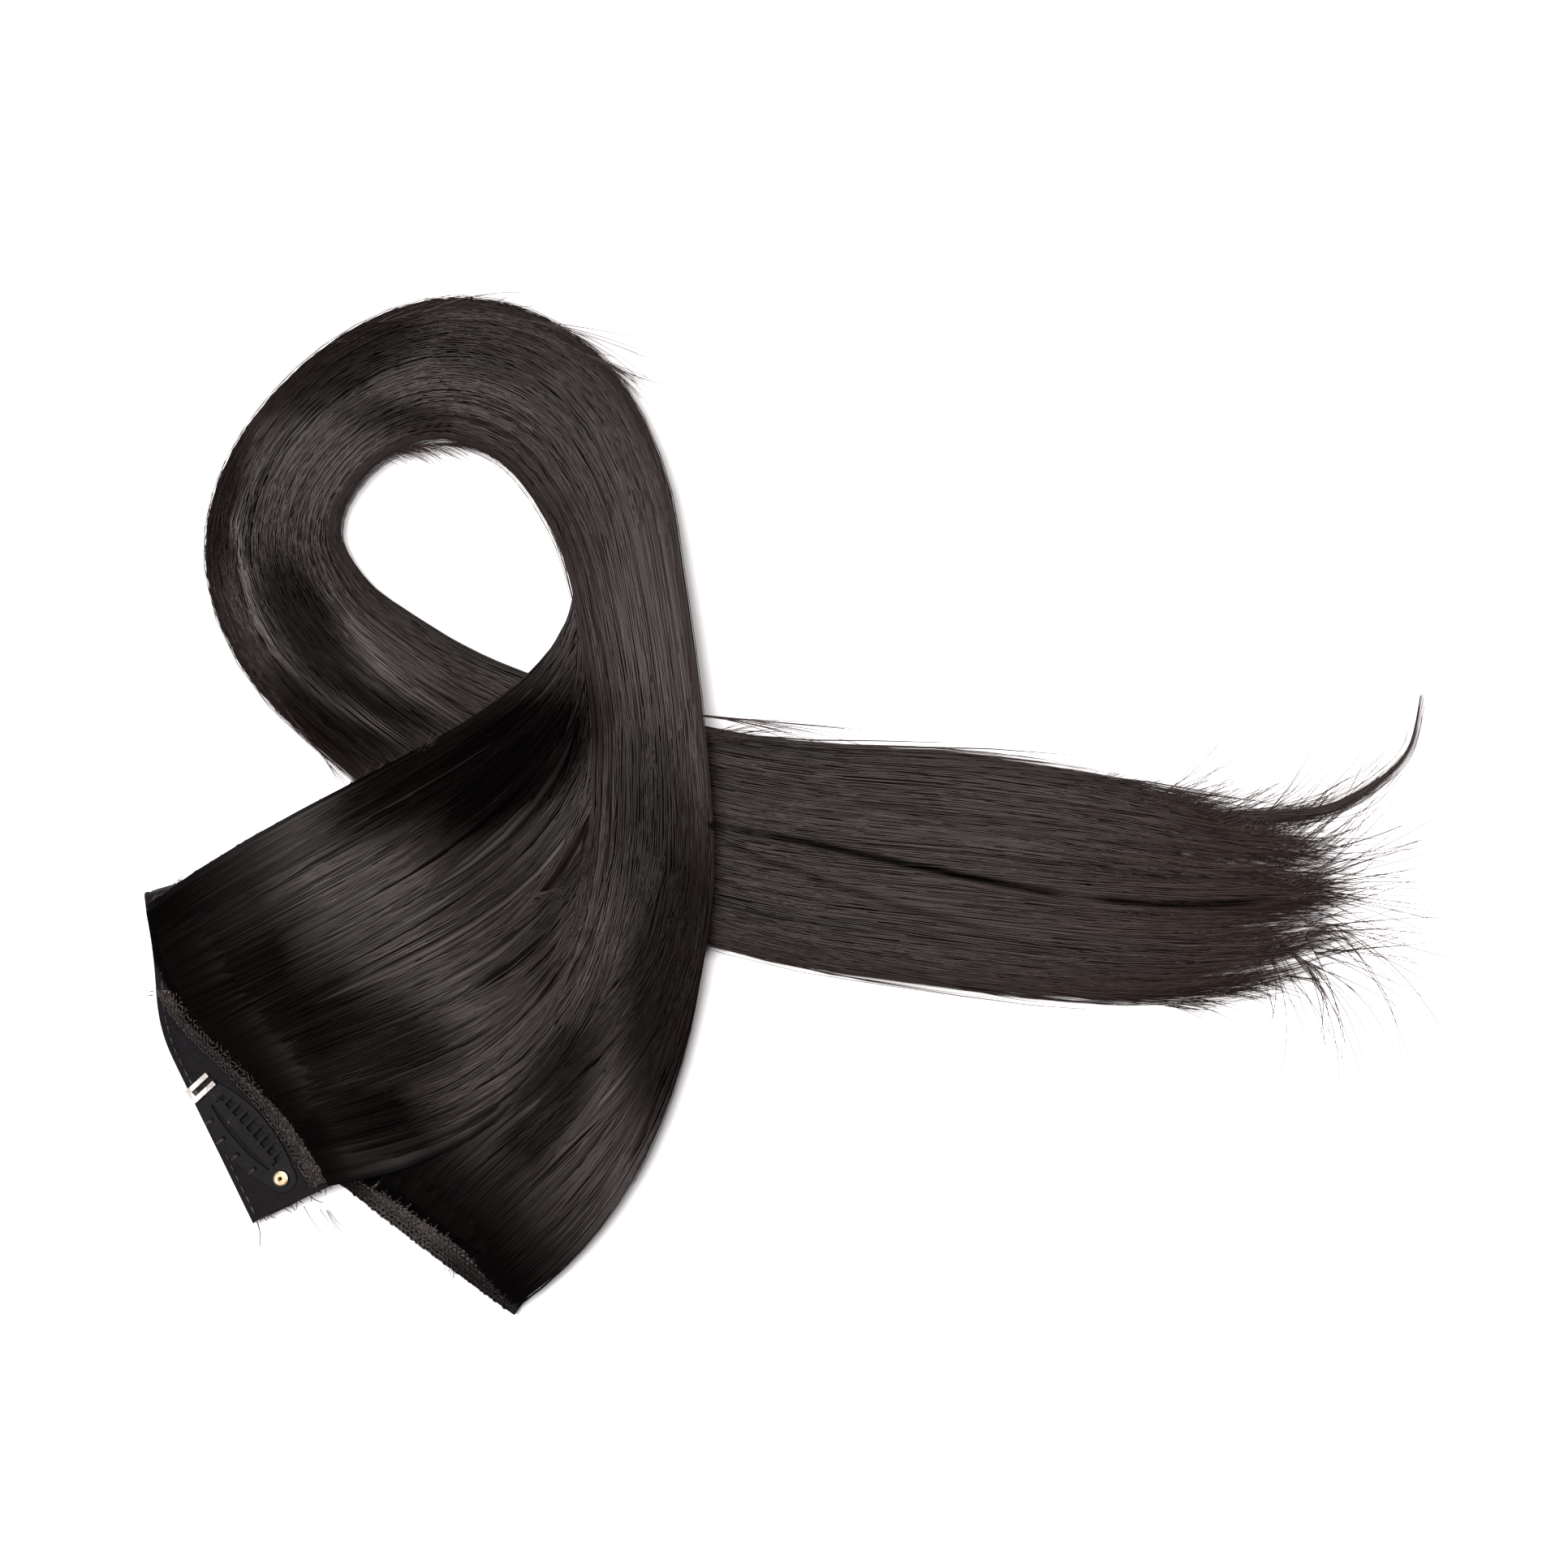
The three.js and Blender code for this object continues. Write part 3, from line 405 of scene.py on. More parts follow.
def hair_run(half, share, tip_shift=0.0, fan=14, rows=38, root_above=0.0, root_back=0.0):
    """Where hair from roots at these shares runs. It leaves the band on a Hermite curve into the
    bundle and then keeps its place in it. Gives, for each root and sample, the middle of its lock,
    the way to the left, the lock's half width and half thickness, how far it has joined, and the
    row."""
    share = np.asarray(share, float)
    runs = RUNS[half]
    get = [np.interp(share, runs[:, 0], runs[:, k]) for k in range(1, runs.shape[1])]
    veer, join, tip = get[0], get[1], get[2] + tip_shift
    places = np.stack(get[3:], -1).reshape(len(share), 3, 2)
    at = np.linspace(0, 1, rows)
    stagger = (share[:, None] * ROW_STAGGER % 1 - 0.5) * np.minimum(1, 6 - 6 * at) / rows
    stagger[:, 0] = 0
    t = np.interp(at + stagger, *SPACING)
    row = join[:, None] + (tip - join)[:, None] * t
    middle, forward, inward, width, thickness, lift = bundle(row)
    to_loop = smooth((row - join[:, None]) / (LOOP_ROW - join[:, None]))[..., None]
    to_tail = smooth(row, LOOP_ROW, TAIL_ROW)[..., None]
    place = places[:, 0, None] + (places[:, 1, None] - places[:, 0, None]) * to_loop
    place = place + (places[:, 2, None] - place) * to_tail
    half_width = LOCK_WIDE * width / 2
    half_thickness = LOCK_DEEP * thickness / 2
    centre = middle + inward * (place[..., 0] * (width / 2 - half_width))[..., None]
    centre[..., 2] = lift + half_thickness
    centre[..., 2] += (place[..., 1] + 1) / 2 * (thickness - 2 * half_thickness)

    over = np.maximum(hair_line(half, share) - root_back, 0) + SEAT_GAP
    root = on_band(half, share, over, SEAT_GAP + root_above)
    along = band_at(half, share)[1]
    off = np.cross(UP, along)
    turn = np.radians(veer)[:, None]
    off = off * np.cos(turn) + np.cross(UP, off) * np.sin(turn)
    joined, onward = centre[:, 0], forward[:, 0]
    span = np.linalg.norm(root - joined, axis=-1)[:, None]
    shape = FAN_SHAPE[half]
    crest, peak, dip, swell, leave, enter = (
        np.interp(share, shape[:, 0], shape[:, k])[:, None] for k in range(1, 7)
    )
    s = np.linspace(0, 1, fan, endpoint=False)
    stagger = (share[:, None] * FAN_STAGGER % 1 - 0.5) * np.minimum(1, (s / 0.3) ** 2)
    s = (s + stagger / fan * 0.8)[..., None]
    start = (1 + 2 * s) * (1 - s) ** 2 * root[:, None] + s * (1 - s) ** 2 * (off * span * leave)[:, None]
    end = s ** 2 * (3 - 2 * s) * joined[:, None] + s ** 2 * (s - 1) * (onward * span * enter)[:, None]
    sheet = start + end
    t = s[..., 0]
    sheet[..., 2] += crest * smooth(t / 0.12) * np.exp(-(((t - peak) / 0.2) ** 2))
    sheet[..., 2] -= dip * np.exp(-(((t - 0.62) / 0.16) ** 2))
    sheet += np.cross(UP, off)[:, None] * (swell * np.sin(np.pi * t ** 0.9))[..., None]
    line = np.concatenate([sheet, centre], 1)
    s = s[..., 0]
    full = 1 + FAN_FULLNESS * np.sin(np.pi * s)
    wide = np.concatenate([(half_width[:, :1] * s) * full, half_width], 1)
    root_half = ROOT_THICKNESS / 2
    deep = np.concatenate([root_half + (half_thickness[:, :1] - root_half) * s, half_thickness], 1)
    joined_share = np.concatenate([s + 0 * wide[:, :fan], np.ones_like(half_width)], 1)
    all_rows = np.concatenate([join[:, None] * s, row], 1)
    ahead = np.gradient(line, axis=1)
    ahead[..., 2] = 0
    left = unit(np.cross(UP, unit(ahead)))
    return line, left, wide, deep, joined_share, all_rows


# Meshes


def mesh_piece(name, points, quads, polygons, finish, uv=None, shade=None):
    """One object on the extension's body, from points in millimetres, quads and other polygons of
    one size. uv holds a pair for each point, and shade a number of painted shade, under 0 a painted
    highlight."""
    mesh = bpy.data.meshes.new(name)
    points = np.asarray(points, np.float64).reshape(-1, 3)
    mesh.vertices.add(len(points))
    mesh.vertices.foreach_set("co", (points * MM).astype(np.float32).ravel())
    corners = [np.asarray(f).ravel() for f in (quads, polygons) if len(f)]
    counts = np.concatenate([np.full(len(f), f.shape[1]) for f in (quads, polygons) if len(f)])
    corners = np.concatenate(corners)
    mesh.loops.add(len(corners))
    mesh.loops.foreach_set("vertex_index", corners.astype(np.int32))
    mesh.polygons.add(len(counts))
    first = np.concatenate([[0], np.cumsum(counts)[:-1]])
    mesh.polygons.foreach_set("loop_start", first.astype(np.int32))
    mesh.polygons.foreach_set("loop_total", counts.astype(np.int32))
    mesh.polygons.foreach_set("use_smooth", np.full(len(counts), True))
    if uv is not None:
        layer = mesh.uv_layers.new(name="run")
        layer.data.foreach_set("uv", np.asarray(uv, np.float32).reshape(-1, 2)[corners].ravel())
    if shade is not None:
        # Painted shade for each point, under 0 a painted highlight, read by the hair and thread finishes
        layer = mesh.attributes.new("hollow", "FLOAT", "POINT")
        layer.data.foreach_set("value", shade.astype(np.float32).ravel())
    mesh.materials.append(finish)
    mesh.update()
    if mesh.validate():
        raise RuntimeError(f"{name} has faulty faces")
    made = bpy.data.objects.new(name, mesh)
    bpy.context.scene.collection.objects.link(made)
    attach(made, "extension")
    return made


def tube_faces(count, samples, sides):
    """Quads of equal closed tubes, and a polygon at each end, for points (tube, sample, side)."""
    tube = np.arange(count)[:, None, None] * samples * sides
    i = np.arange(samples - 1)[None, :, None] * sides
    j = np.arange(sides)[None, None, :]
    k = (j + 1) % sides
    quads = np.stack([tube + i + j, tube + i + k, tube + i + sides + k, tube + i + sides + j], -1)
    starts = np.arange(count)[:, None] * samples * sides
    ring = np.arange(sides)[None, :]
    ends = np.concatenate([starts + ring[:, ::-1], starts + (samples - 1) * sides + ring])
    return quads.reshape(-1, 4), ends


def round_tubes(line, radius, sides):
    """Points of round tubes along lines (tube, sample, 3): a circle in the plane of each point's
    level left and the way square to both."""
    ahead = unit(np.gradient(line, axis=1))
    side = unit(np.cross(UP, ahead) + 1e-6)
    normal = np.cross(ahead, side)
    angle = 2 * np.pi * np.arange(sides) / sides
    c, s = np.cos(angle)[None, None, :, None], np.sin(angle)[None, None, :, None]
    radius = np.broadcast_to(radius, line.shape[:2])[..., None, None]
    return line[:, :, None] + radius * (side[:, :, None] * c + normal[:, :, None] * s)


def run_uv(count, samples, sides, across, along):
    """UVs of tubes: one number across for each tube, and one along for each of its samples."""
    u = np.broadcast_to(across[:, None, None], (count, samples, sides))
    v = np.broadcast_to(np.atleast_2d(along)[:, :, None], (count, samples, sides))
    return np.stack([u, v], -1)


# Finishes


class Value:
    """A socket that sums can be written with: each operation adds one Math node."""

    def __init__(self, finish, socket):
        self.finish = finish
        self.socket = socket

    def math(self, operation, *others):
        inputs = dict(enumerate((self, *others)))
        return self.finish.node("ShaderNodeMath", {"operation": operation}, inputs)

    def __add__(self, other):
        return self.math("ADD", other)

    def __mul__(self, other):
        return self.math("MULTIPLY", other)

    def __sub__(self, other):
        return self.math("SUBTRACT", other)

    def __rsub__(self, other):
        return (self * -1) + other

    def __pow__(self, other):
        return self.math("POWER", other)

    __radd__ = __add__
    __rmul__ = __mul__

    def between(self, low, high):
        """0 where this is below low, 1 above high, and eased between."""
        settings = {"interpolation_type": "SMOOTHSTEP"}
        return self.finish.node("ShaderNodeMapRange", settings, {0: self, 1: low, 2: high})


class Finish:
    """A material round one Principled shader."""

    def __init__(self, name, **constants):
        self.material = bpy.data.materials.new(name)
        self.material.use_nodes = True
        self.tree = self.material.node_tree
        self.shader = self.tree.nodes["Principled BSDF"]
        for key, value in constants.items():
            self.put(self.shader.inputs[key.replace("_", " ")], value)

    def put(self, socket, value):
        if isinstance(value, Value):
            self.tree.links.new(value.socket, socket)
        elif isinstance(value, (tuple, list)) and len(value) == 3 and socket.type == "RGBA":
            socket.default_value = (*value, 1)
        else:
            socket.default_value = value

    def node(self, kind, settings=(), inputs=(), output=0):
        made = self.tree.nodes.new(kind)
        for name, value in dict(settings).items():
            if name == "stops":
                ramp = made.color_ramp.elements
                while len(ramp) < len(value):
                    ramp.new(0.5)
                for element, (place, colour) in zip(ramp, value):
                    element.position = place
                    element.color = (*colour, 1)
            else:
                setattr(made, name, value)
        for name, value in dict(inputs).items():
            self.put(made.inputs[name], value)
        return Value(self, made.outputs[output])

    def run(self):
        """The piece's own UV map, as u and v."""
        uv = self.node("ShaderNodeUVMap", {"uv_map": "run"})
        return self.split(uv, 0), self.split(uv, 1)

    def split(self, vector, axis):
        return self.node("ShaderNodeSeparateXYZ", (), {0: vector}, axis)

    def join(self, x, y, z=0.0):
        return self.node("ShaderNodeCombineXYZ", (), {0: x, 1: y, 2: z})

    def place(self):
        return self.node("ShaderNodeTexCoord", (), (), "Object")

    def noise(self, vector, scale, detail=2.0, roughness=0.5):
        inputs = {"Vector": vector, "Scale": scale, "Detail": detail, "Roughness": roughness}
        return self.node("ShaderNodeTexNoise", (), inputs)

    def mix(self, share, a, b):
        """A colour between two."""
        return self.node("ShaderNodeMix", {"data_type": "RGBA"}, {0: share, 6: a, 7: b}, 2)

    def bump(self, height, strength, distance):
        inputs = {"Height": height, "Strength": strength, "Distance": distance}
        self.put(self.shader.inputs["Normal"], self.node("ShaderNodeBump", (), inputs))

    def deepen(self, share, colour):
        """Mixes in a dull dark shader, for what lies in deep shade between its neighbours."""
        dull = self.tree.nodes.new("ShaderNodeBsdfDiffuse")
        dull.inputs["Color"].default_value = (*colour, 1)
        mixed = self.tree.nodes.new("ShaderNodeMixShader")
        self.put(mixed.inputs[0], share.math("MINIMUM", 1.0))
        self.tree.links.new(self.shader.outputs[0], mixed.inputs[1])
        self.tree.links.new(dull.outputs[0], mixed.inputs[2])
        self.tree.links.new(mixed.outputs[0], self.tree.nodes["Material Output"].inputs[0])

    def set(self, **values):
        for key, value in values.items():
            self.put(self.shader.inputs[key.replace("_", " ")], value)


def hair_finish(name, dark, light, tips, roughness, streaks):
    """Hair with streaks along its run: two noises stretched along v colour it, make thin strands of
    painted shade and bump it. The points' painted shade and highlight number deepens it with painted
    shade or makes it gleam with a painted highlight. The tail's partings are dark lines of painted
    shade on cubic curves of y by x, broken up by a noise."""
    made = Finish(name, Specular_IOR_Level=0.42)
    u, v = made.run()
    broad = made.noise(made.join(u * streaks, v * 3.0), 1.0, 2.0)
    fine = made.noise(made.join(u * streaks * 6.0, v * 9.0), 1.0, 3.0, 0.6)
    # Painted shade: the hair is darker and rougher near its roots, beside the track
    root = 1 - (v + fine * 0.03).between(0.03, 0.12)
    tone = (broad * 0.7 + fine * 0.5).between(0.4, 0.82) * (1 - root * 0.8)
    rough = fine * 0.14 + broad * 0.22 + (roughness - 0.1) + root * 0.2
    # Painted light: lighter and redder towards the tips, for light through the thin hair there
    backlit = (v + fine * 0.04).between(0.9, 1.03) * 0.85
    depth = made.node("ShaderNodeAttribute", {"attribute_name": "hollow"}, (), "Fac")
    # Painted highlight: where the number is under 0 the base colour goes towards the gleam's tone
    gleam = (depth * -1).math("MAXIMUM", 0.0) * (broad * 0.9 + fine * 0.9 + 0.1)
    colour = made.mix(backlit, made.mix(tone, dark, light), tips)
    made.set(Base_Color=made.mix(gleam.math("MINIMUM", 1.0), colour, GLEAM_TONE), Roughness=rough)
    made.bump(fine, 0.25, 0.0003)
    place = made.place()
    x, y = made.split(place, 0) * (1 / MM), made.split(place, 1) * (1 / MM)
    patchy = made.noise(place, 55.0).between(0.3, 0.55) * 0.6 + 0.4
    painted_parting_shade = 0.0
    for strength, course in PARTINGS:
        cubic, square, slope, start = (float(c) for c in np.polyfit(course[:, 0], course[:, 1], 3))
        off = (y - (x * x * x * cubic + x * x * square + x * slope + start)).math("ABSOLUTE")
        first, last = float(course[0, 0]), float(course[-1, 0])
        along = x.between(first, first + 3) * (1 - x.between(last - 14, last + 2)) * patchy * strength
        painted_parting_shade = ((1 - off.between(0.2, 1.6)) * along).math("MAXIMUM", painted_parting_shade)
    # Painted shade in thin random streaks, between the strands
    thin = (1 - fine.between(0.34, 0.5)) * 0.55 + (1 - broad.between(0.3, 0.5)) * 0.42
    deep = depth.math("MAXIMUM", thin).math("MAXIMUM", painted_parting_shade * (fine + 0.2))
    made.deepen(deep * (broad * 0.5 + 0.72), tuple(0.5 * c for c in dark))
    return made.material


def woven_finish(name, colour, lift):
    """Ribbon: ribs across it and threads along it, both on its UV map in millimetres."""
    made = Finish(name, Specular_IOR_Level=0.1, Sheen_Weight=0.02, Sheen_Roughness=0.5)
    u, v = made.run()
    across = (u * (2 * math.pi / 0.62)).math("SINE")
    along = (v * (2 * math.pi / 0.8)).math("SINE")
    weave = across * along
    worn = made.noise(made.place(), 420.0, 3.0)
    dust = made.noise(made.place(), 90.0, 4.0)
    tone = (weave * 0.25 + worn * 0.7 + dust * 0.4).between(0.3, 1.0)
    made.set(Base_Color=made.mix(tone, colour, lift), Roughness=worn * 0.2 + 0.62)
    made.bump(weave * 0.5 + worn, 0.6, 0.00015)
    return made.material


def thread_finish(name, colour, lift, roughness):
    """Thread and hair ends: twisted plies along v, and a tone for each piece in u. The points'
    painted shade number deepens it with painted shade."""
    made = Finish(name, Specular_IOR_Level=0.45)
    u, v = made.run()
    ply = (v * 2.2 + u * 6.3).math("SINE")
    tone = made.noise(made.join(u * 37.0, v * 0.2), 1.0, 2.0)
    cloud = made.noise(made.place(), 110.0, 2.0)
    mixed = (tone * 0.5 + cloud * 0.7 + ply * 0.12).between(0.45, 0.95)
    made.set(Base_Color=made.mix(mixed, colour, lift), Roughness=tone * 0.2 + (roughness - 0.1))
    made.bump(ply, 0.3, 0.0001)
    depth = made.node("ShaderNodeAttribute", {"attribute_name": "hollow"}, (), "Fac")
    made.deepen(depth * (cloud + 0.4), colour)
    return made.material


def painted_finish(name, colour, worn_colour, holes):
    """Semi-gloss paint with a fine grain, worn to bright metal round the sewing holes."""
    made = Finish(name, Coat_Roughness=0.2, Specular_IOR_Level=0.14)
    place = made.place()
    grain = made.noise(place, 900.0, 2.0)
    cloud = made.noise(place, 120.0, 4.0, 0.6)
    bare = None
    for hole in holes:
        inputs = {0: place, 1: tuple(hole * MM)}
        away = made.node("ShaderNodeVectorMath", {"operation": "DISTANCE"}, inputs, "Value")
        mark = (1 - (away + cloud * 0.0008).between(0.0005, 0.0009)) * 0.12
        bare = mark if bare is None else bare.math("MAXIMUM", mark)
    scuff = cloud.between(0.66, 0.78) * 0.35
    bare = scuff if bare is None else bare.math("MAXIMUM", scuff)
    made.set(
        Base_Color=made.mix(bare, colour, worn_colour),
        Roughness=grain * 0.1 + cloud * 0.12 + 0.22,
        Metallic=bare * 0.9 + 0.1,
        Coat_Weight=(1 - bare) * 0.07,
    )
    made.bump(grain, 0.12, 0.00005)
    return made.material


def metal_finish(name, colour, shade, roughness, brushed):
    """Bare metal: fine lines one way, cloudy tarnish and scratches in its roughness."""
    made = Finish(name, Metallic=1.0)
    place = made.place()
    stretched = made.node("ShaderNodeMapping", (), {"Vector": place, "Scale": brushed})
    lines = made.noise(stretched, 1.0, 3.0, 0.6)
    cloud = made.noise(place, 300.0, 3.0)
    tone = (cloud * 0.7 + lines * 0.5).between(0.35, 0.85)
    rough = lines * 0.14 + cloud * 0.1 + (roughness - 0.1)
    made.set(Base_Color=made.mix(tone, shade, colour), Roughness=rough)
    made.bump(lines, 0.15, 0.00003)
    return made.material


def paper_finish(name, colour):
    """The pale matt floor, with the faintest mottling."""
    made = Finish(name, Roughness=0.9, Specular_IOR_Level=0.1)
    mottle = made.noise(made.place(), 14.0, 3.0)
    made.set(Base_Color=made.mix(mottle, tuple(0.985 * c for c in colour), colour))
    return made.material


def finish_nodes(names, finish):
    """CAD nodes keep their shapes and take a finish."""
    for name in names:
        bpy.data.objects[name].data.materials.clear()
        bpy.data.objects[name].data.materials.append(finish)


# What a user would change


class HairSettings(PropertyGroup):
    strands: IntProperty(name="Strands", description="Strands over the locks", default=2000, min=100)
    thickness: FloatProperty(
        name="Strand thickness", description="Of one strand, in millimetres", default=0.42, min=0.1
    )
    dark: FloatVectorProperty(
        name="Dark tone", description="Of the deepest streaks",
        default=(0.0022, 0.0016, 0.0015), subtype="COLOR",
    )
    light: FloatVectorProperty(
        name="Light tone", description="Of the lightest streaks",
        default=(0.015, 0.0095, 0.0085), subtype="COLOR",
    )
    tips: FloatVectorProperty(
        name="Tip tone", description="Of the faded tips", default=(0.028, 0.017, 0.0145), subtype="COLOR"
    )
    fringe: FloatVectorProperty(
        name="Fringe tone", description="Of single hairs", default=(0.032, 0.02, 0.017), subtype="COLOR"
    )
    seed: IntProperty(name="Seed", description="Of every random draw", default=7)


class BandSettings(PropertyGroup):
    cloth: FloatVectorProperty(
        name="Cloth", description="Of the woven band", default=(0.0022, 0.0022, 0.003), subtype="COLOR"
    )
    thread: FloatVectorProperty(
        name="Thread", description="Of the tracks and seams",
        default=(0.004, 0.0036, 0.0036), subtype="COLOR",
    )
    rib: FloatProperty(
        name="Rib", description="Spacing of the ribs, in millimetres", default=1.6, min=0.5
    )


class ClipSettings(PropertyGroup):
    paint: FloatVectorProperty(
        name="Paint", description="Of the comb clips", default=(0.0012, 0.0014, 0.0026), subtype="COLOR"
    )
    steel: FloatVectorProperty(
        name="Bare steel", description="Of the end loop", default=(0.82, 0.81, 0.79), subtype="COLOR"
    )
    brass: FloatVectorProperty(
        name="Brass", description="Of the rivet", default=(0.8, 0.7, 0.52), subtype="COLOR"
    )


class StageSettings(PropertyGroup):
    floor: FloatVectorProperty(
        name="Floor", description="The pale floor", default=(0.9, 0.95, 0.98), subtype="COLOR"
    )
    key: FloatProperty(name="Key light", description="In watts", default=72.0, min=0)
    fill: FloatProperty(name="Fill light", description="Strength of the surround", default=0.14, min=0)
    camera_height: FloatProperty(
        name="Camera height", description="Above the floor", default=2.0, unit="LENGTH"
    )


SETTINGS = {
    "hairpiece_hair": HairSettings,
    "hairpiece_band": BandSettings,
    "hairpiece_clip": ClipSettings,
    "hairpiece_stage": StageSettings,
}

FINISHES = {}


def finish_once(name, make):
    """A finish that several pieces share, made when the first of them needs it."""
    if name not in FINISHES:
        FINISHES[name] = make()
    return FINISHES[name]


def hair_material():
    hair = bpy.context.scene.hairpiece_hair
    tones = tuple(hair.dark), tuple(hair.light), tuple(hair.tips)
    return finish_once("hair", lambda: hair_finish("hair", *tones, 0.3, 60.0))


# Single hairs get a lighter, redder copy of the hair's finish: painted light, for light through the thin
# hairs
def loose_material():
    hair = bpy.context.scene.hairpiece_hair
    tones = tuple(hair.light), tuple(hair.fringe), tuple(hair.fringe)
    return finish_once("loose_hair", lambda: hair_finish("loose_hair", *tones, 0.45, 60.0))


def thread_material():
    band = bpy.context.scene.hairpiece_band
    tones = tuple(band.thread), (0.055, 0.047, 0.043)
    return finish_once("thread", lambda: thread_finish("thread", *tones, 0.55))


# Operators


class HAIRPIECE_OT_stage(Operator):
    """The pale floor, the soft lights and the camera above it"""

    bl_idname = "hairpiece.stage"
    bl_label = "Stage"

    def execute(self, context):
        stage = context.scene.hairpiece_stage
        half = 8.0
        corners = np.array([[-half, -half, 0], [half, -half, 0], [half, half, 0], [-half, half, 0]]) / MM
        paper = paper_finish("floor", tuple(stage.floor))
        floor = mesh_piece("floor", corners, np.array([[0, 1, 2, 3]]), NO_FACES, paper)
        del floor["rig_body"]

        world = bpy.data.worlds.new("surround")
        context.scene.world = world
        world.use_nodes = True
        world.node_tree.nodes["Background"].inputs["Color"].default_value = (1, 1, 1, 1)
        world.node_tree.nodes["Background"].inputs["Strength"].default_value = stage.fill

        def softbox(name, place, size, watts):
            light = bpy.data.lights.new(name, "AREA")
            light.color = (1.0, 0.9, 0.87)
            light.shape = "RECTANGLE"
            light.size, light.size_y = size
            light.energy = watts
            made = bpy.data.objects.new(name, light)
            context.scene.collection.objects.link(made)
            made.location = place
            away = -np.array(place, float)
            made.rotation_euler = (
                math.acos(-away[2] / np.linalg.norm(away)),
                0,
                math.atan2(away[1], away[0]) - math.pi / 2,
            )

        softbox("key", (0.3, 0.9, 2.0), (0.9, 0.9), stage.key * 0.25)
        softbox("front", (-0.45, 0.1, 2.3), (0.8, 0.8), stage.key * 1.32)
        context.scene.view_settings.view_transform = "Standard"

        camera = bpy.data.objects.new("camera", bpy.data.cameras.new("camera"))
        context.scene.collection.objects.link(camera)
        centre, view_width, top = (0.00024, 0.00516), 0.345, 0.012
        camera.location = (*centre, stage.camera_height)
        camera.data.sensor_width = 36
        camera.data.lens = 36 * (stage.camera_height - top) / view_width
        camera.data.clip_start, camera.data.clip_end = 0.1, 30
        context.scene.camera = camera
        return {"FINISHED"}


def ribbon_rows():
    """The band's middle line, ways over and up and distance, from the upper half's cut end round
    the fold to the lower half's end. The ways turn with the fold, so up stays the outer face's on
    the upper half and the inner face's on the lower."""
    band = bpy.context.scene.hairpiece_band
    per_rib = 4
    halves = {}
    for half, length in LENGTHS.items():
        count = int(length / band.rib * per_rib)
        share = np.linspace(0, 1, count + 1)
        edge, _, over, up = band_at(half, share)
        halves[half] = (edge + over * BAND_WIDTH / 2, over, up, share * length)
    turn = np.linspace(0, 1, 26)[1:-1]
    heading = UPPER_LAY[0, 1] + (LOWER_LAY[0, 1] - UPPER_LAY[0, 1]) * turn
    out = -plan(heading)
    over = np.cross(out, UP)
    angle = np.pi * turn[:, None]
    up = UP * np.cos(angle) + out * np.sin(angle)
    centre = -out * (FOLD_RADIUS + BAND_THICKNESS / 2)
    centre[:, 2] = LOWER_HEIGHT + FOLD_RADIUS
    centre = centre + up * FOLD_RADIUS + over * BAND_WIDTH / 2
    upper, lower = halves["upper"], halves["lower"]
    fold = np.pi * FOLD_RADIUS
    middle = np.concatenate([upper[0][::-1], centre, lower[0]])
    overs = np.concatenate([upper[1][::-1], over, lower[1]])
    ups = np.concatenate([upper[2][::-1], up, -lower[2]])
    run = np.concatenate([
        UPPER_LENGTH - upper[3][::-1], UPPER_LENGTH + fold * turn, UPPER_LENGTH + fold + lower[3],
    ])
    return middle, overs, ups, run


def ribbon_profile():
    """The band's section: a flat rectangle with rounded edges, a raised selvedge along each edge
    and a shallow sewn channel beside it. Pairs of side and height, and their share of the rib."""
    half, thick = BAND_WIDTH / 2, BAND_THICKNESS / 2
    right = np.array([0.15, 0.45, 0.7, 0.82, 0.86, 0.9, 0.95, 0.985, 1])
    across = np.concatenate([-right[::-1], right])
    places, heights = [0, 0.8, 0.86, 0.91, 0.96, 0.99, 1], [0.82, 0.82, 0.6, 1, 1, 0.8, 0.35]
    height = np.interp(np.abs(across), places, heights)
    side = np.concatenate([across, across[::-1]]) * half
    up = np.concatenate([-height, height[::-1]]) * thick
    rib = np.concatenate([-np.ones(len(across)), np.ones(len(across))])
    rib *= np.interp(np.abs(np.concatenate([across, across[::-1]])), [0, 0.8, 0.88, 1], [1, 1, 0, 0])
    return side, up, rib


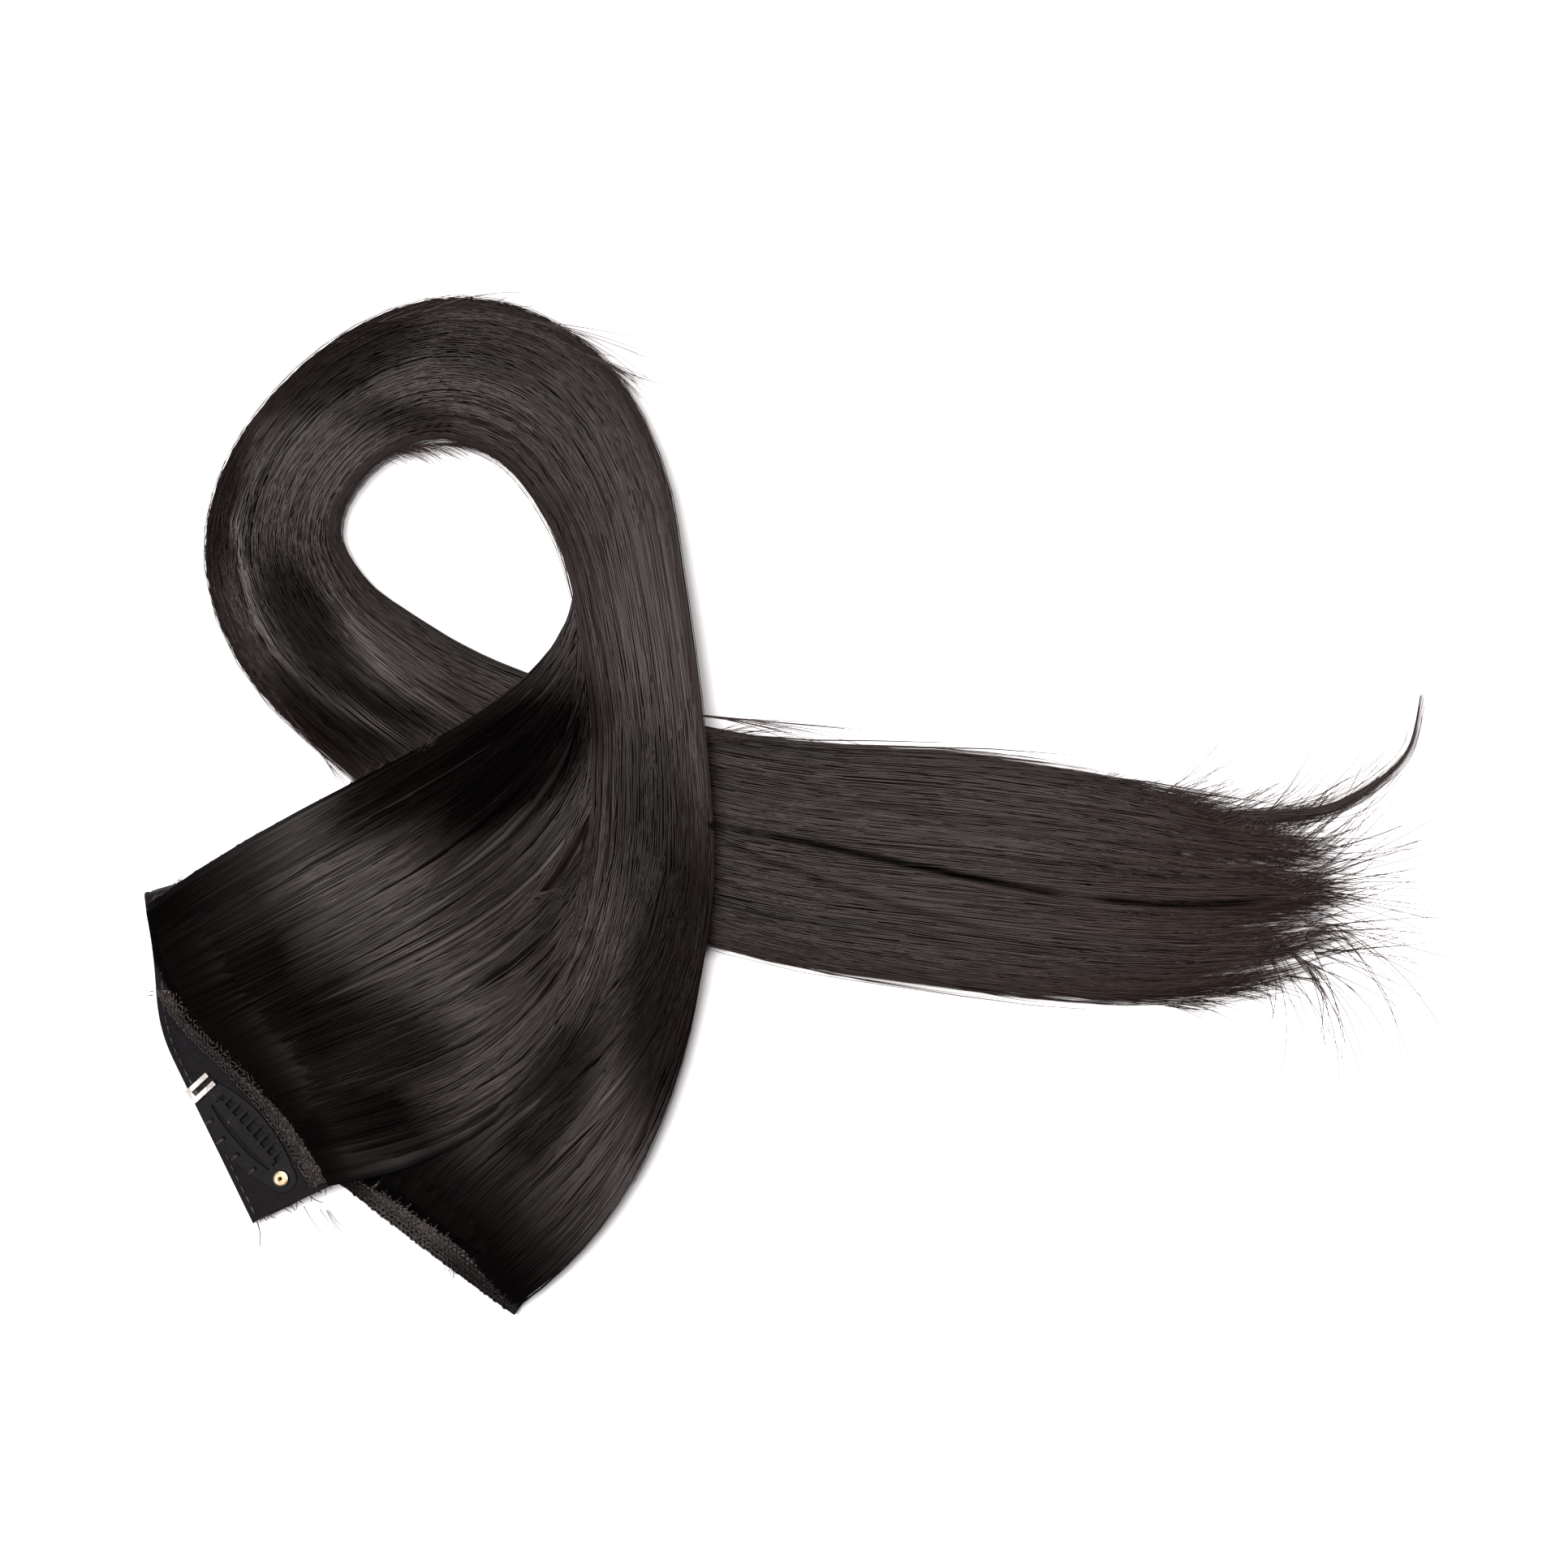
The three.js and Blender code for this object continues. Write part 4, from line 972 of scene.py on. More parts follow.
class HAIRPIECE_OT_band(Operator):
    """The woven sewing band with its ribs and selvedges, its seams and the threads at its cut ends"""

    bl_idname = "hairpiece.band"
    bl_label = "Sewing band"

    def execute(self, context):
        band = context.scene.hairpiece_band
        rng = np.random.default_rng(context.scene.hairpiece_hair.seed)
        middle, over, up, run = ribbon_rows()
        side, height, rib = ribbon_profile()
        relief = 0.07 * np.sin(2 * np.pi * run / band.rib)[:, None] * rib
        cut = np.zeros((len(run), len(side)))
        ragged = 0.35 * wander(rng, 1, len(side), 12)[0]
        cut[0], cut[-1] = ragged, 0.4 * ragged
        ahead = unit(np.gradient(middle, axis=0))
        heights = height[None] + relief
        points = (
            middle[:, None] - over[:, None] * side[None, :, None]
            + up[:, None] * heights[..., None] + ahead[:, None] * cut[..., None]
        )
        count = len(side)
        quads, ends = tube_faces(1, len(run), count)
        u = np.broadcast_to(side + BAND_WIDTH / 2, points.shape[:2])
        v = np.broadcast_to(run[:, None], points.shape[:2])
        cloth = woven_finish("woven_band", tuple(band.cloth), (0.009, 0.009, 0.011))
        made = mesh_piece("band_ribbon", points + FOLD_PLACE, quads, ends, cloth, np.stack([u, v], -1))
        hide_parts("weft_band")

        seams = self.seams(rng)
        fray = self.fray(rng)
        return {"FINISHED"}

    def seams(self, rng):
        """Running stitches: short tubes that rise from the cloth and dip back, in two rows on each
        half, height a half sine of the way along the stitch."""
        starts, stops = [], []
        pitch, long_share = 2.6, 0.72
        for half, length in LENGTHS.items():
            for inset in (1.5, BAND_WIDTH - 1.5):
                at = np.arange(3.0, length - 1.5, pitch)
                over = inset + rng.uniform(-0.07, 0.07, len(at))
                hidden = 0.05
                starts.append(on_band(half, at / length, over, hidden))
                stops.append(on_band(half, (at + pitch * long_share) / length, over, hidden))
        starts, stops = np.concatenate(starts), np.concatenate(stops)
        t = np.linspace(0, 1, 7)[None, :, None]
        line = starts[:, None] + (stops - starts)[:, None] * t
        line[..., 2] += 0.2 * np.sin(np.pi * t[..., 0]) - 0.1
        points = round_tubes(line, 0.17, 6)
        quads, ends = tube_faces(len(line), 7, 6)
        uv = run_uv(len(line), 7, 6, rng.uniform(0, 1, len(line)), np.linspace(0, 2, 7))
        made = mesh_piece("band_seams", points + FOLD_PLACE, quads, ends, thread_material(), uv)
        return made

    def fray(self, rng):
        """Threads that stand out of the cut ends: each a curve that leaves along the band and bends
        off by a square of its length."""
        rows = []
        for half, count, reach in (("upper", 34, 2.2), ("lower", 16, 1.2)):
            over = rng.uniform(0.3, BAND_WIDTH - 0.3, count)
            base = on_band(half, np.ones(count), over, -BAND_THICKNESS / 2)
            _, along, way, up = band_at(half, np.ones(count))
            length = reach * rng.uniform(0.3, 1.0, count) ** 1.6
            bend = rng.uniform(-0.6, 0.6, count)
            rows.append((base, along, way, up, length, bend, rng.uniform(-0.5, 0.3, count)))
        base, along, way, up, length, bend, rise = (np.concatenate(part) for part in zip(*rows))
        long_ones = [3, 17]
        length[long_ones] = (6.4, 3.2)
        bend[long_ones] = (-0.35, 0.5)
        t = np.linspace(0, 1, 8)[None, :, None]
        line = base[:, None] + along[:, None] * (t * length[:, None, None] - 0.4)
        line = line + way[:, None] * (bend * length)[:, None, None] * t ** 2
        line = line + up[:, None] * (rise * length)[:, None, None] * t ** 2
        line[..., 2] = np.maximum(line[..., 2], 0.15)
        radius = 0.16 * (1 - 0.5 * t[..., 0])
        points = round_tubes(line, radius, 5)
        quads, ends = tube_faces(len(line), 8, 5)
        uv = run_uv(len(line), 8, 5, rng.uniform(0, 1, len(line)), np.linspace(0, 2, 8))
        made = mesh_piece("band_fray", points + FOLD_PLACE, quads, ends, thread_material(), uv)
        return made


class HAIRPIECE_OT_tracks(Operator):
    """The sewn tracks: hair ends folded over and knotted side by side"""

    bl_idname = "hairpiece.tracks"
    bl_label = "Sewn tracks"

    def execute(self, context):
        rng = np.random.default_rng(context.scene.hairpiece_hair.seed + 1)
        start = COVERED + (1 - COVERED) * math.asin(TRACK_WIDTH / BAND_WIDTH) / (math.pi / 2)
        for half, low in (("upper", start), ("lower", 1 - TRACK_END)):
            self.track(rng, half, low)
        return {"FINISHED"}

    def track(self, rng, half, low):
        """A low bed with knots on it. A knot is a tube on a twisted loop: an ellipse in plan whose
        height runs twice round as a sine."""
        length = LENGTHS[half]
        samples = 120
        share = np.linspace(low, TRACK_END, samples)
        centre_over = hair_line(half, share) - TRACK_WIDTH / 2
        bed_half = TRACK_WIDTH / 2 - 0.3
        side = np.linspace(-1, 1, 9)
        crown = 0.35 + 0.55 * np.sqrt(np.maximum(0, 1 - side ** 2))
        outline_side = np.concatenate([side, side[::-1]]) * bed_half
        outline_up = np.concatenate([np.full(9, 0.05), crown[::-1]])
        edge, _, over, up = band_at(half, share)
        lump = 0.12 * wander(rng, len(outline_side), samples, 40).T
        height = BAND_THICKNESS / 2 + SEAT_GAP * 0.6 + outline_up + lump * (outline_up > 0.1)
        points = (
            edge[:, None] + over[:, None] * (centre_over[:, None] - outline_side)[..., None]
            + up[:, None] * height[..., None]
        )
        quads, ends = tube_faces(1, samples, len(outline_side))
        u = np.broadcast_to(share[:, None] * length * 0.1, points.shape[:2])
        v = np.broadcast_to((outline_side + bed_half) * 0.12, points.shape[:2])
        bed = mesh_piece(
            f"{half}_track_bed", points + FOLD_PLACE, quads, ends, hair_material(), np.stack([u, v], -1)
        )
        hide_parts(f"{half}_track")

        pitch = 1.15
        first, rows = (-1.5, 7) if half == "lower" else (-0.7, 4)
        rows_over = np.linspace(first, 0.62, rows) * TRACK_WIDTH / 2
        at = np.arange(low * length + 0.8, TRACK_END * length - 0.8, pitch)
        where, offset = np.meshgrid(at, rows_over, indexing="ij")
        where = (where + pitch / 2 * (np.arange(rows) % 2)).ravel()
        where = where + rng.uniform(-0.15, 0.15, where.size)
        offset = offset.ravel() + rng.uniform(-0.12, 0.12, where.size)
        edge, along, over, up = band_at(half, where / length)
        middle = edge + over * (hair_line(half, where / length) - TRACK_WIDTH / 2 + offset)[:, None]
        middle = middle + up * (BAND_THICKNESS / 2 + SEAT_GAP + 1.0)
        angle = np.linspace(0, 2 * np.pi, 10, endpoint=False)
        turned = rng.uniform(-0.7, 0.7, len(where))[:, None] + angle[None] * 0
        long, wide = rng.uniform(0.55, 0.8, (len(where), 1)), rng.uniform(0.3, 0.5, (len(where), 1))
        x, y = long * np.cos(angle), wide * np.sin(angle)
        x, y = x * np.cos(turned) - y * np.sin(turned), x * np.sin(turned) + y * np.cos(turned)
        z = 0.22 * np.sin(2 * angle + rng.uniform(0, 6, (len(where), 1)))
        ring = middle[:, None] + along[:, None] * x[..., None] + over[:, None] * y[..., None]
        ring = ring + up[:, None] * z[..., None]
        # Painted shade on the knots: some on the upper track, and deep on the lower but for the one place
        # where its thread is seen
        shade = np.full(len(where), 0.3)
        if half == "lower":  # its thread is seen at one place only
            shade = 0.85 * smooth(np.abs(where / length - 0.755), 0.05, 0.12)
        knots = self.rings(f"{half}_track_knots", ring, 0.19, 4, rng, shade)

    def rings(self, name, line, radius, sides, rng, shade):
        """Closed tubes round closed lines (ring, sample, 3), the seam joined, with a shade each."""
        count, samples = line.shape[:2]
        ahead = unit(np.roll(line, -1, 1) - np.roll(line, 1, 1))
        side = unit(np.cross(UP, ahead) + 1e-6)
        normal = np.cross(ahead, side)
        angle = 2 * np.pi * np.arange(sides) / sides
        c, s = np.cos(angle)[None, None, :, None], np.sin(angle)[None, None, :, None]
        points = line[:, :, None] + radius * (side[:, :, None] * c + normal[:, :, None] * s)
        tube = np.arange(count)[:, None, None] * samples * sides
        i = np.arange(samples)[None, :, None]
        j = np.arange(sides)[None, None, :]
        a, b = i * sides, (i + 1) % samples * sides
        k = (j + 1) % sides
        quads = np.stack([tube + a + j, tube + a + k, tube + b + k, tube + b + j], -1).reshape(-1, 4)
        uv = run_uv(count, samples, sides, rng.uniform(0, 1, count), np.linspace(0, 4, samples))
        shades = np.repeat(shade, samples * sides)
        return mesh_piece(name, points + FOLD_PLACE, quads, NO_FACES, thread_material(), uv, shades)


class HAIRPIECE_OT_clips(Operator):
    """The comb clip's paint, bare steel and brass, and the thread that sews it down"""

    bl_idname = "hairpiece.clips"
    bl_label = "Comb clips"

    def execute(self, context):
        clip = context.scene.hairpiece_clip
        # four sewing holes along the back bar, whose bow is a parabola, in millimetres
        hole_x = (np.arange(4) + 0.5) / 4 * 2 * 9.6 - 9.6
        edge = 3.2 + 2.6 * (1 - (hole_x / 12.8) ** 2)
        hole_y = 1.7 - edge
        holes = self.at_clip(hole_x, hole_y, np.full(4, 0.9))
        paint, worn = tuple(clip.paint), (0.6, 0.6, 0.62)
        finish_nodes(["clip_frame"], painted_finish("frame_paint", paint, worn, holes))
        finish_nodes(["clip_comb"], painted_finish("comb_paint", paint, worn, []))
        hidden = painted_finish("hidden_paint", paint, worn, [])
        finish_nodes(["hidden_clip_middle", "hidden_clip_end"], hidden)
        steel = metal_finish("bare_steel", tuple(clip.steel), (0.5, 0.5, 0.5), 0.26, (900, 120, 120))
        finish_nodes(["clip_loop"], steel)
        brass = metal_finish("brass", tuple(clip.brass), (0.45, 0.34, 0.18), 0.3, (400, 400, 400))
        finish_nodes(["clip_rivet"], brass)
        self.stitches(hole_x, hole_y, edge)
        return {"FINISHED"}

    def at_clip(self, x, y, z):
        """Row-frame points in millimetres from the clip's own along, over and up."""
        x, y, z = (np.asarray(c, float)[..., None] for c in (x, y, z))
        return CLIP_PLACE + CLIP_ALONG * x + CLIP_OVER * y + CLIP_UP * z

    def stitches(self, hole_x, hole_y, edge):
        """Thread over the back bar at each hole: three strands side by side, each an arch that
        comes up the hole, lies over the bar and goes down outside it."""
        rng = np.random.default_rng(3)
        lines = []
        t = np.linspace(0, 1, 14)
        for spread in (-0.16, 0.0, 0.16):
            x = hole_x[:, None] + spread + rng.uniform(-0.05, 0.05, (4, 1)) + 0.3 * spread * t
            y = hole_y[:, None] + (-edge[:, None] - 0.35 - hole_y[:, None]) * smooth(t)
            z = 0.1 + 1.15 * np.sin(np.pi * np.clip(t, 0.02, 0.98)) ** 0.5 + 0 * x
            lines.append(self.at_clip(x, y, z))
        line = np.concatenate(lines)
        points = round_tubes(line, 0.11, 6)
        quads, ends = tube_faces(len(line), 14, 6)
        uv = run_uv(len(line), 14, 6, rng.uniform(0, 1, len(line)), np.linspace(0, 3, 14))
        made = mesh_piece("clip_stitches", points, quads, ends, thread_material(), uv)


def ride_up(line, shade):
    """Hair raised along the ridges and brightened there with a painted highlight, by a bell curve of the
    distance from them.
    """
    for rise, half_width, course in RIDGES:
        at = course - FOLD_PLACE[:2]
        flat = line[..., :2].reshape(-1, 2)
        near = np.full(len(flat), 1e9)
        for point in curved(at, np.linspace(0, len(at) - 1, 120)):
            near = np.minimum(near, np.sum((flat - point) ** 2, 1))
        bell = np.exp(-near / half_width ** 2).reshape(line.shape[:-1])
        line[..., 2] += rise * bell
        shade = shade - RIDGE_GLEAM * rise * bell
    return line, shade


def hollow(line, joined, row):
    """How deep the painted shade on hair is, up to 1, or how bright its painted highlight is, down to -1:
    painted shade beside the track and at the bundle's rims, and by the patches, each a bell curve with
    a flat top."""
    middle, _, inward, width, _, _ = bundle(row)
    off_middle = np.abs(np.sum((line - middle) * inward, -1)) / (width / 2)
    rim = RIM_SHADE * smooth(off_middle, 0.6, 1.05) * smooth(row, 4.0, 7.0)
    rim = rim * (1 - 0.5 * smooth(row, 16.0, 18.0))
    deepest = np.maximum(0.9 * (1 - smooth(joined, 0.08, 0.26)), rim)
    gleam = 0 * deepest
    place = line[..., :2] + FOLD_PLACE[:2]
    for side, patches in PAINTED_SHADE_AND_HIGHLIGHT_PATCHES.items():
        here = smooth(row, 7.5, 6.0) if side == "before" else smooth(row, 5.6, 7.0)
        for x, y, heading, long, wide, depth in patches:
            turn = math.radians(heading)
            away = place - [x, y]
            along = away[..., 0] * math.cos(turn) + away[..., 1] * math.sin(turn)
            across = away[..., 1] * math.cos(turn) - away[..., 0] * math.sin(turn)
            far = np.sqrt((along / long) ** 2 + (across / wide) ** 2)
            flat = SHADE_FLAT if depth > 0 else GLEAM_FLAT
            amount = depth * here * (1 - smooth(far, flat, PATCH_END))
            deepest = np.maximum(deepest, amount)
            gleam = np.minimum(gleam, amount)
    return deepest + gleam * (1 - deepest)


def strand_lines(
    rng, half, clumps, members, samples, spread=1.0, radii=(0.93, 1.0), tips=(-2.4, 0.5), fringe=False
):
    """Lines of strands in clumps. A clump has a root's share of the band, an angle round its lock
    and a radius. The line is the lock's middle, plus its half width times the cosine of the angle
    and its half thickness times the sine, both grown in from the band to the bundle. Clumps drift
    slowly along the hair, and their strands a little within them. Roots of the lower half sink
    below its knots, but for its ends. A fringe keeps to the bundle's outer sides. Gives the lines,
    each strand's clump and the shade at each sample."""
    fan, rows = samples
    clump = np.repeat(np.arange(clumps), members)
    count, total = len(clump), fan + rows
    share = 0.012 + 0.976 * (np.arange(clumps) + rng.uniform(0, 1, clumps)) / clumps
    edge = smooth(share, 0.7, 1.0) if half == "lower" else -smooth(1 - share, 0.67, 1.0)
    across = rng.uniform(-1, 1, clumps) * (1 - np.abs(edge)) - edge
    if fringe:
        share = 1 - 0.3 * rng.uniform(0, 1, clumps)
        across = rng.uniform(0.55, 1, clumps) * (-1 if half == "lower" else 1)
    angle = np.arccos(across)
    low = rng.uniform(0, 1, clumps) < 0.14
    under = np.where(across > 0, -1, 1) * rng.uniform(0, 0.7, clumps) + np.pi * (across < 0)
    angle = np.where(low, under, angle)
    radius = rng.uniform(*radii, clumps)
    tip = tips[1] - (tips[1] - tips[0]) * rng.uniform(0, 1, clumps) ** 1.6
    share = share[clump]
    astray = rng.normal(0, 0.45 / clumps, count) * spread
    share = np.clip(share + astray * (1 + 1.5 * smooth(share, 0.88, 0.96)), 0, 1)
    tip = tip[clump] + 0.3 - 1.3 * rng.uniform(0, 1, count) ** 1.5
    in_tail = np.interp(share, RUNS[half][:, 0], RUNS[half][:, 8]) * (1 - LOCK_WIDE)
    tip = tip + np.interp(in_tail + np.cos(angle[clump]) * LOCK_WIDE, *TIP_LINE)
    back = np.interp(share, *ROOTS_BACK[half])[:, None] * (0.75 + 0.25 * rng.uniform(0, 1, (count, 1)))
    line, left, wide, deep, joined, row = hair_run(half, share, tip, fan, rows, 0.0, back[:, 0])
    loose = joined * (1 - joined) * 4 * (smooth(share, 0, 0.12) * smooth(1 - share, 0, 0.12))[:, None]
    line += left * (loose * 1.6 * wander(rng, clumps, total, 12)[clump])[..., None]
    drift = 0.3 * wander(rng, clumps, total, 5)[clump] + 0.1 * wander(rng, count, total, 7)
    angle = angle[clump, None] + rng.normal(0, 0.07, count)[:, None] * spread + drift
    radius = radius[clump, None] + rng.normal(0, 0.02, count)[:, None] * spread
    radius = radius + 0.02 * wander(rng, clumps, total, 6)[clump] + 0.012 * wander(rng, count, total, 8)
    grown = smooth(joined)
    side = wide * np.cos(angle) * radius * grown
    high = np.sin(angle)
    high = np.where(high > 0, 0.62 + 0.38 * high, high)
    root_up = ROOT_THICKNESS / 2 * (1 + 0.85 * high * (radius - 0.1))
    if half == "upper":
        root_up = root_up * (1 - 0.7 * smooth(share, 0.8, 1.0))[:, None]
    sunk = np.ones((count, 1))
    if half == "lower":
        sunk = sunk + 1.4 * smooth(np.abs(share - 0.75), 0.08, 0.16)[:, None]
    lowered = np.minimum(0, sunk - root_up) * smooth(back, 0, 2)
    root_up = root_up + lowered * (1 - smooth(joined, 0.0, 0.12))
    rise = root_up * (1 - grown) + deep * np.sin(angle) * radius * grown
    end = np.linspace(0, 1, total)
    splay = rng.normal(0, 1.6, clumps)[clump] + rng.normal(0, 1.2, count)
    side = side + smooth(end, 0.9, 1.0) * splay[:, None]
    line = line + left * side[..., None]
    line[..., 2] += rise
    line, shade = ride_up(line, hollow(line, joined, row))
    return line, clump, shade


class HAIRPIECE_OT_locks(Operator):
    """The body of the hair: long tapered locks from both halves of the band to the tips"""

    bl_idname = "hairpiece.locks"
    bl_label = "Locks"

    def execute(self, context):
        rng = np.random.default_rng(context.scene.hairpiece_hair.seed + 2)
        fan, rows, sides = 14, 52, 8
        parts = []
        for half, count in (("upper", 40), ("lower", 50)):
            share = 0.01 + 0.97 * (np.arange(count) + rng.uniform(0.2, 0.8, count)) / count
            angle = rng.uniform(-np.pi, np.pi, count)
            inner = rng.uniform(0.1, 0.52, count)
            inset = 1.5 * (1 - smooth(share, 0.1, 0.22)) if half == "upper" else 0.3
            line, left, wide, deep, joined, row = hair_run(
                half, share, rng.uniform(-3.0, -1.1, count), fan, rows, ROOT_THICKNESS / 2 - 0.4, -inset
            )
            grown = smooth(joined)
            line = line + left * (wide * np.cos(angle)[:, None] * inner[:, None] * grown)[..., None]
            line[..., 2] += deep * np.sin(angle)[:, None] * inner[:, None] * grown
            root_wide = LENGTHS[half] / count * 1.5
            half_wide = root_wide * (1 - grown) + 0.37 * wide * grown
            half_deep = 0.55 * ROOT_THICKNESS / 2 * (1 - grown) + 0.35 * deep * grown
            end = np.linspace(0, 1, line.shape[1])
            taper = 1 - 0.98 * smooth(end, 0.9, 1.0)
            line[..., 2] *= 1 - 0.4 * smooth(end, 0.9, 1.0)
            if half == "upper":
                half_deep = half_deep * (1 - 0.6 * smooth(share, 0.7, 1.0)[:, None] * (1 - grown))
            parts.append((line, left, half_wide * taper, half_deep * taper, hollow(line, joined, row)))
        line, left, wide, deep, shade = (np.concatenate(group) for group in zip(*parts))
        line, shade = ride_up(line, shade)
        shade = np.maximum(shade, BODY_SHADE)
        count, samples = line.shape[:2]
        around = 2 * np.pi * np.arange(sides) / sides
        uneven = 1 + 0.1 * rng.uniform(-1, 1, (count, 1, sides))
        waves = wander(rng, count * sides, samples, 6).reshape(count, sides, samples)
        uneven = uneven + 0.05 * waves.transpose(0, 2, 1)
        c, s = np.cos(around) * uneven, np.sin(around) * uneven
        points = line[:, :, None] + left[:, :, None] * (wide[..., None] * c)[..., None]
        points = points + UP * (deep[..., None] * s)[..., None]
        points[..., 2] = np.maximum(points[..., 2], 0.02)
        quads, ends = tube_faces(count, samples, sides)
        across = np.arange(count)[:, None] * 0.37 + np.abs(np.arange(sides) - sides / 2) * 0.02
        u = np.broadcast_to(across[:, None], points.shape[:3])
        v = np.broadcast_to(np.linspace(0, 1, samples)[None, :, None], points.shape[:3])
        made = mesh_piece(
            "hair_locks", points + FOLD_PLACE, quads, ends, hair_material(), np.stack([u, v], -1),
            np.repeat(shade, sides),
        )
        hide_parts("hair")
        return {"FINISHED"}


class HAIRPIECE_OT_strands(Operator):
    """Strands over the locks, all the way from the band to the tips"""

    bl_idname = "hairpiece.strands"
    bl_label = "Strands"

    def execute(self, context):
        hair = context.scene.hairpiece_hair
        rng = np.random.default_rng(hair.seed + 3)
        members = 9
        for half, portion in (("upper", 0.45), ("lower", 0.55)):
            clumps = int(hair.strands * portion / members)
            line, clump, shade = strand_lines(rng, half, clumps, members, (14, 36))
            count, samples = line.shape[:2]
            end = np.linspace(0, 1, samples)
            taper = 1 - 0.93 * smooth(end, 0.94, 1.0)
            thick = hair.thickness / 2 * rng.uniform(0.75, 1.25, (count, 1)) * taper
            line[..., 2] = np.maximum(line[..., 2], thick * 0.6)
            points = round_tubes(line, thick, 3)
            tone = rng.uniform(0, 1, clumps)[clump] + rng.uniform(0, 0.02, count)
            order = rng.permutation(count)
            batch = math.ceil(count / math.ceil(count * samples * 6 / PIECE_TRIANGLES))
            for number, begin in enumerate(range(0, count, batch)):
                chosen = order[begin:begin + batch]
                quads, ends = tube_faces(len(chosen), samples, 3)
                uv = run_uv(len(chosen), samples, 3, tone[chosen], end)
                made = mesh_piece(
                    f"hair_strands_{half}_{number + 1}", points[chosen] + FOLD_PLACE, quads, ends,
                    hair_material(), uv, np.repeat(shade[chosen], 3),
                )
        return {"FINISHED"}


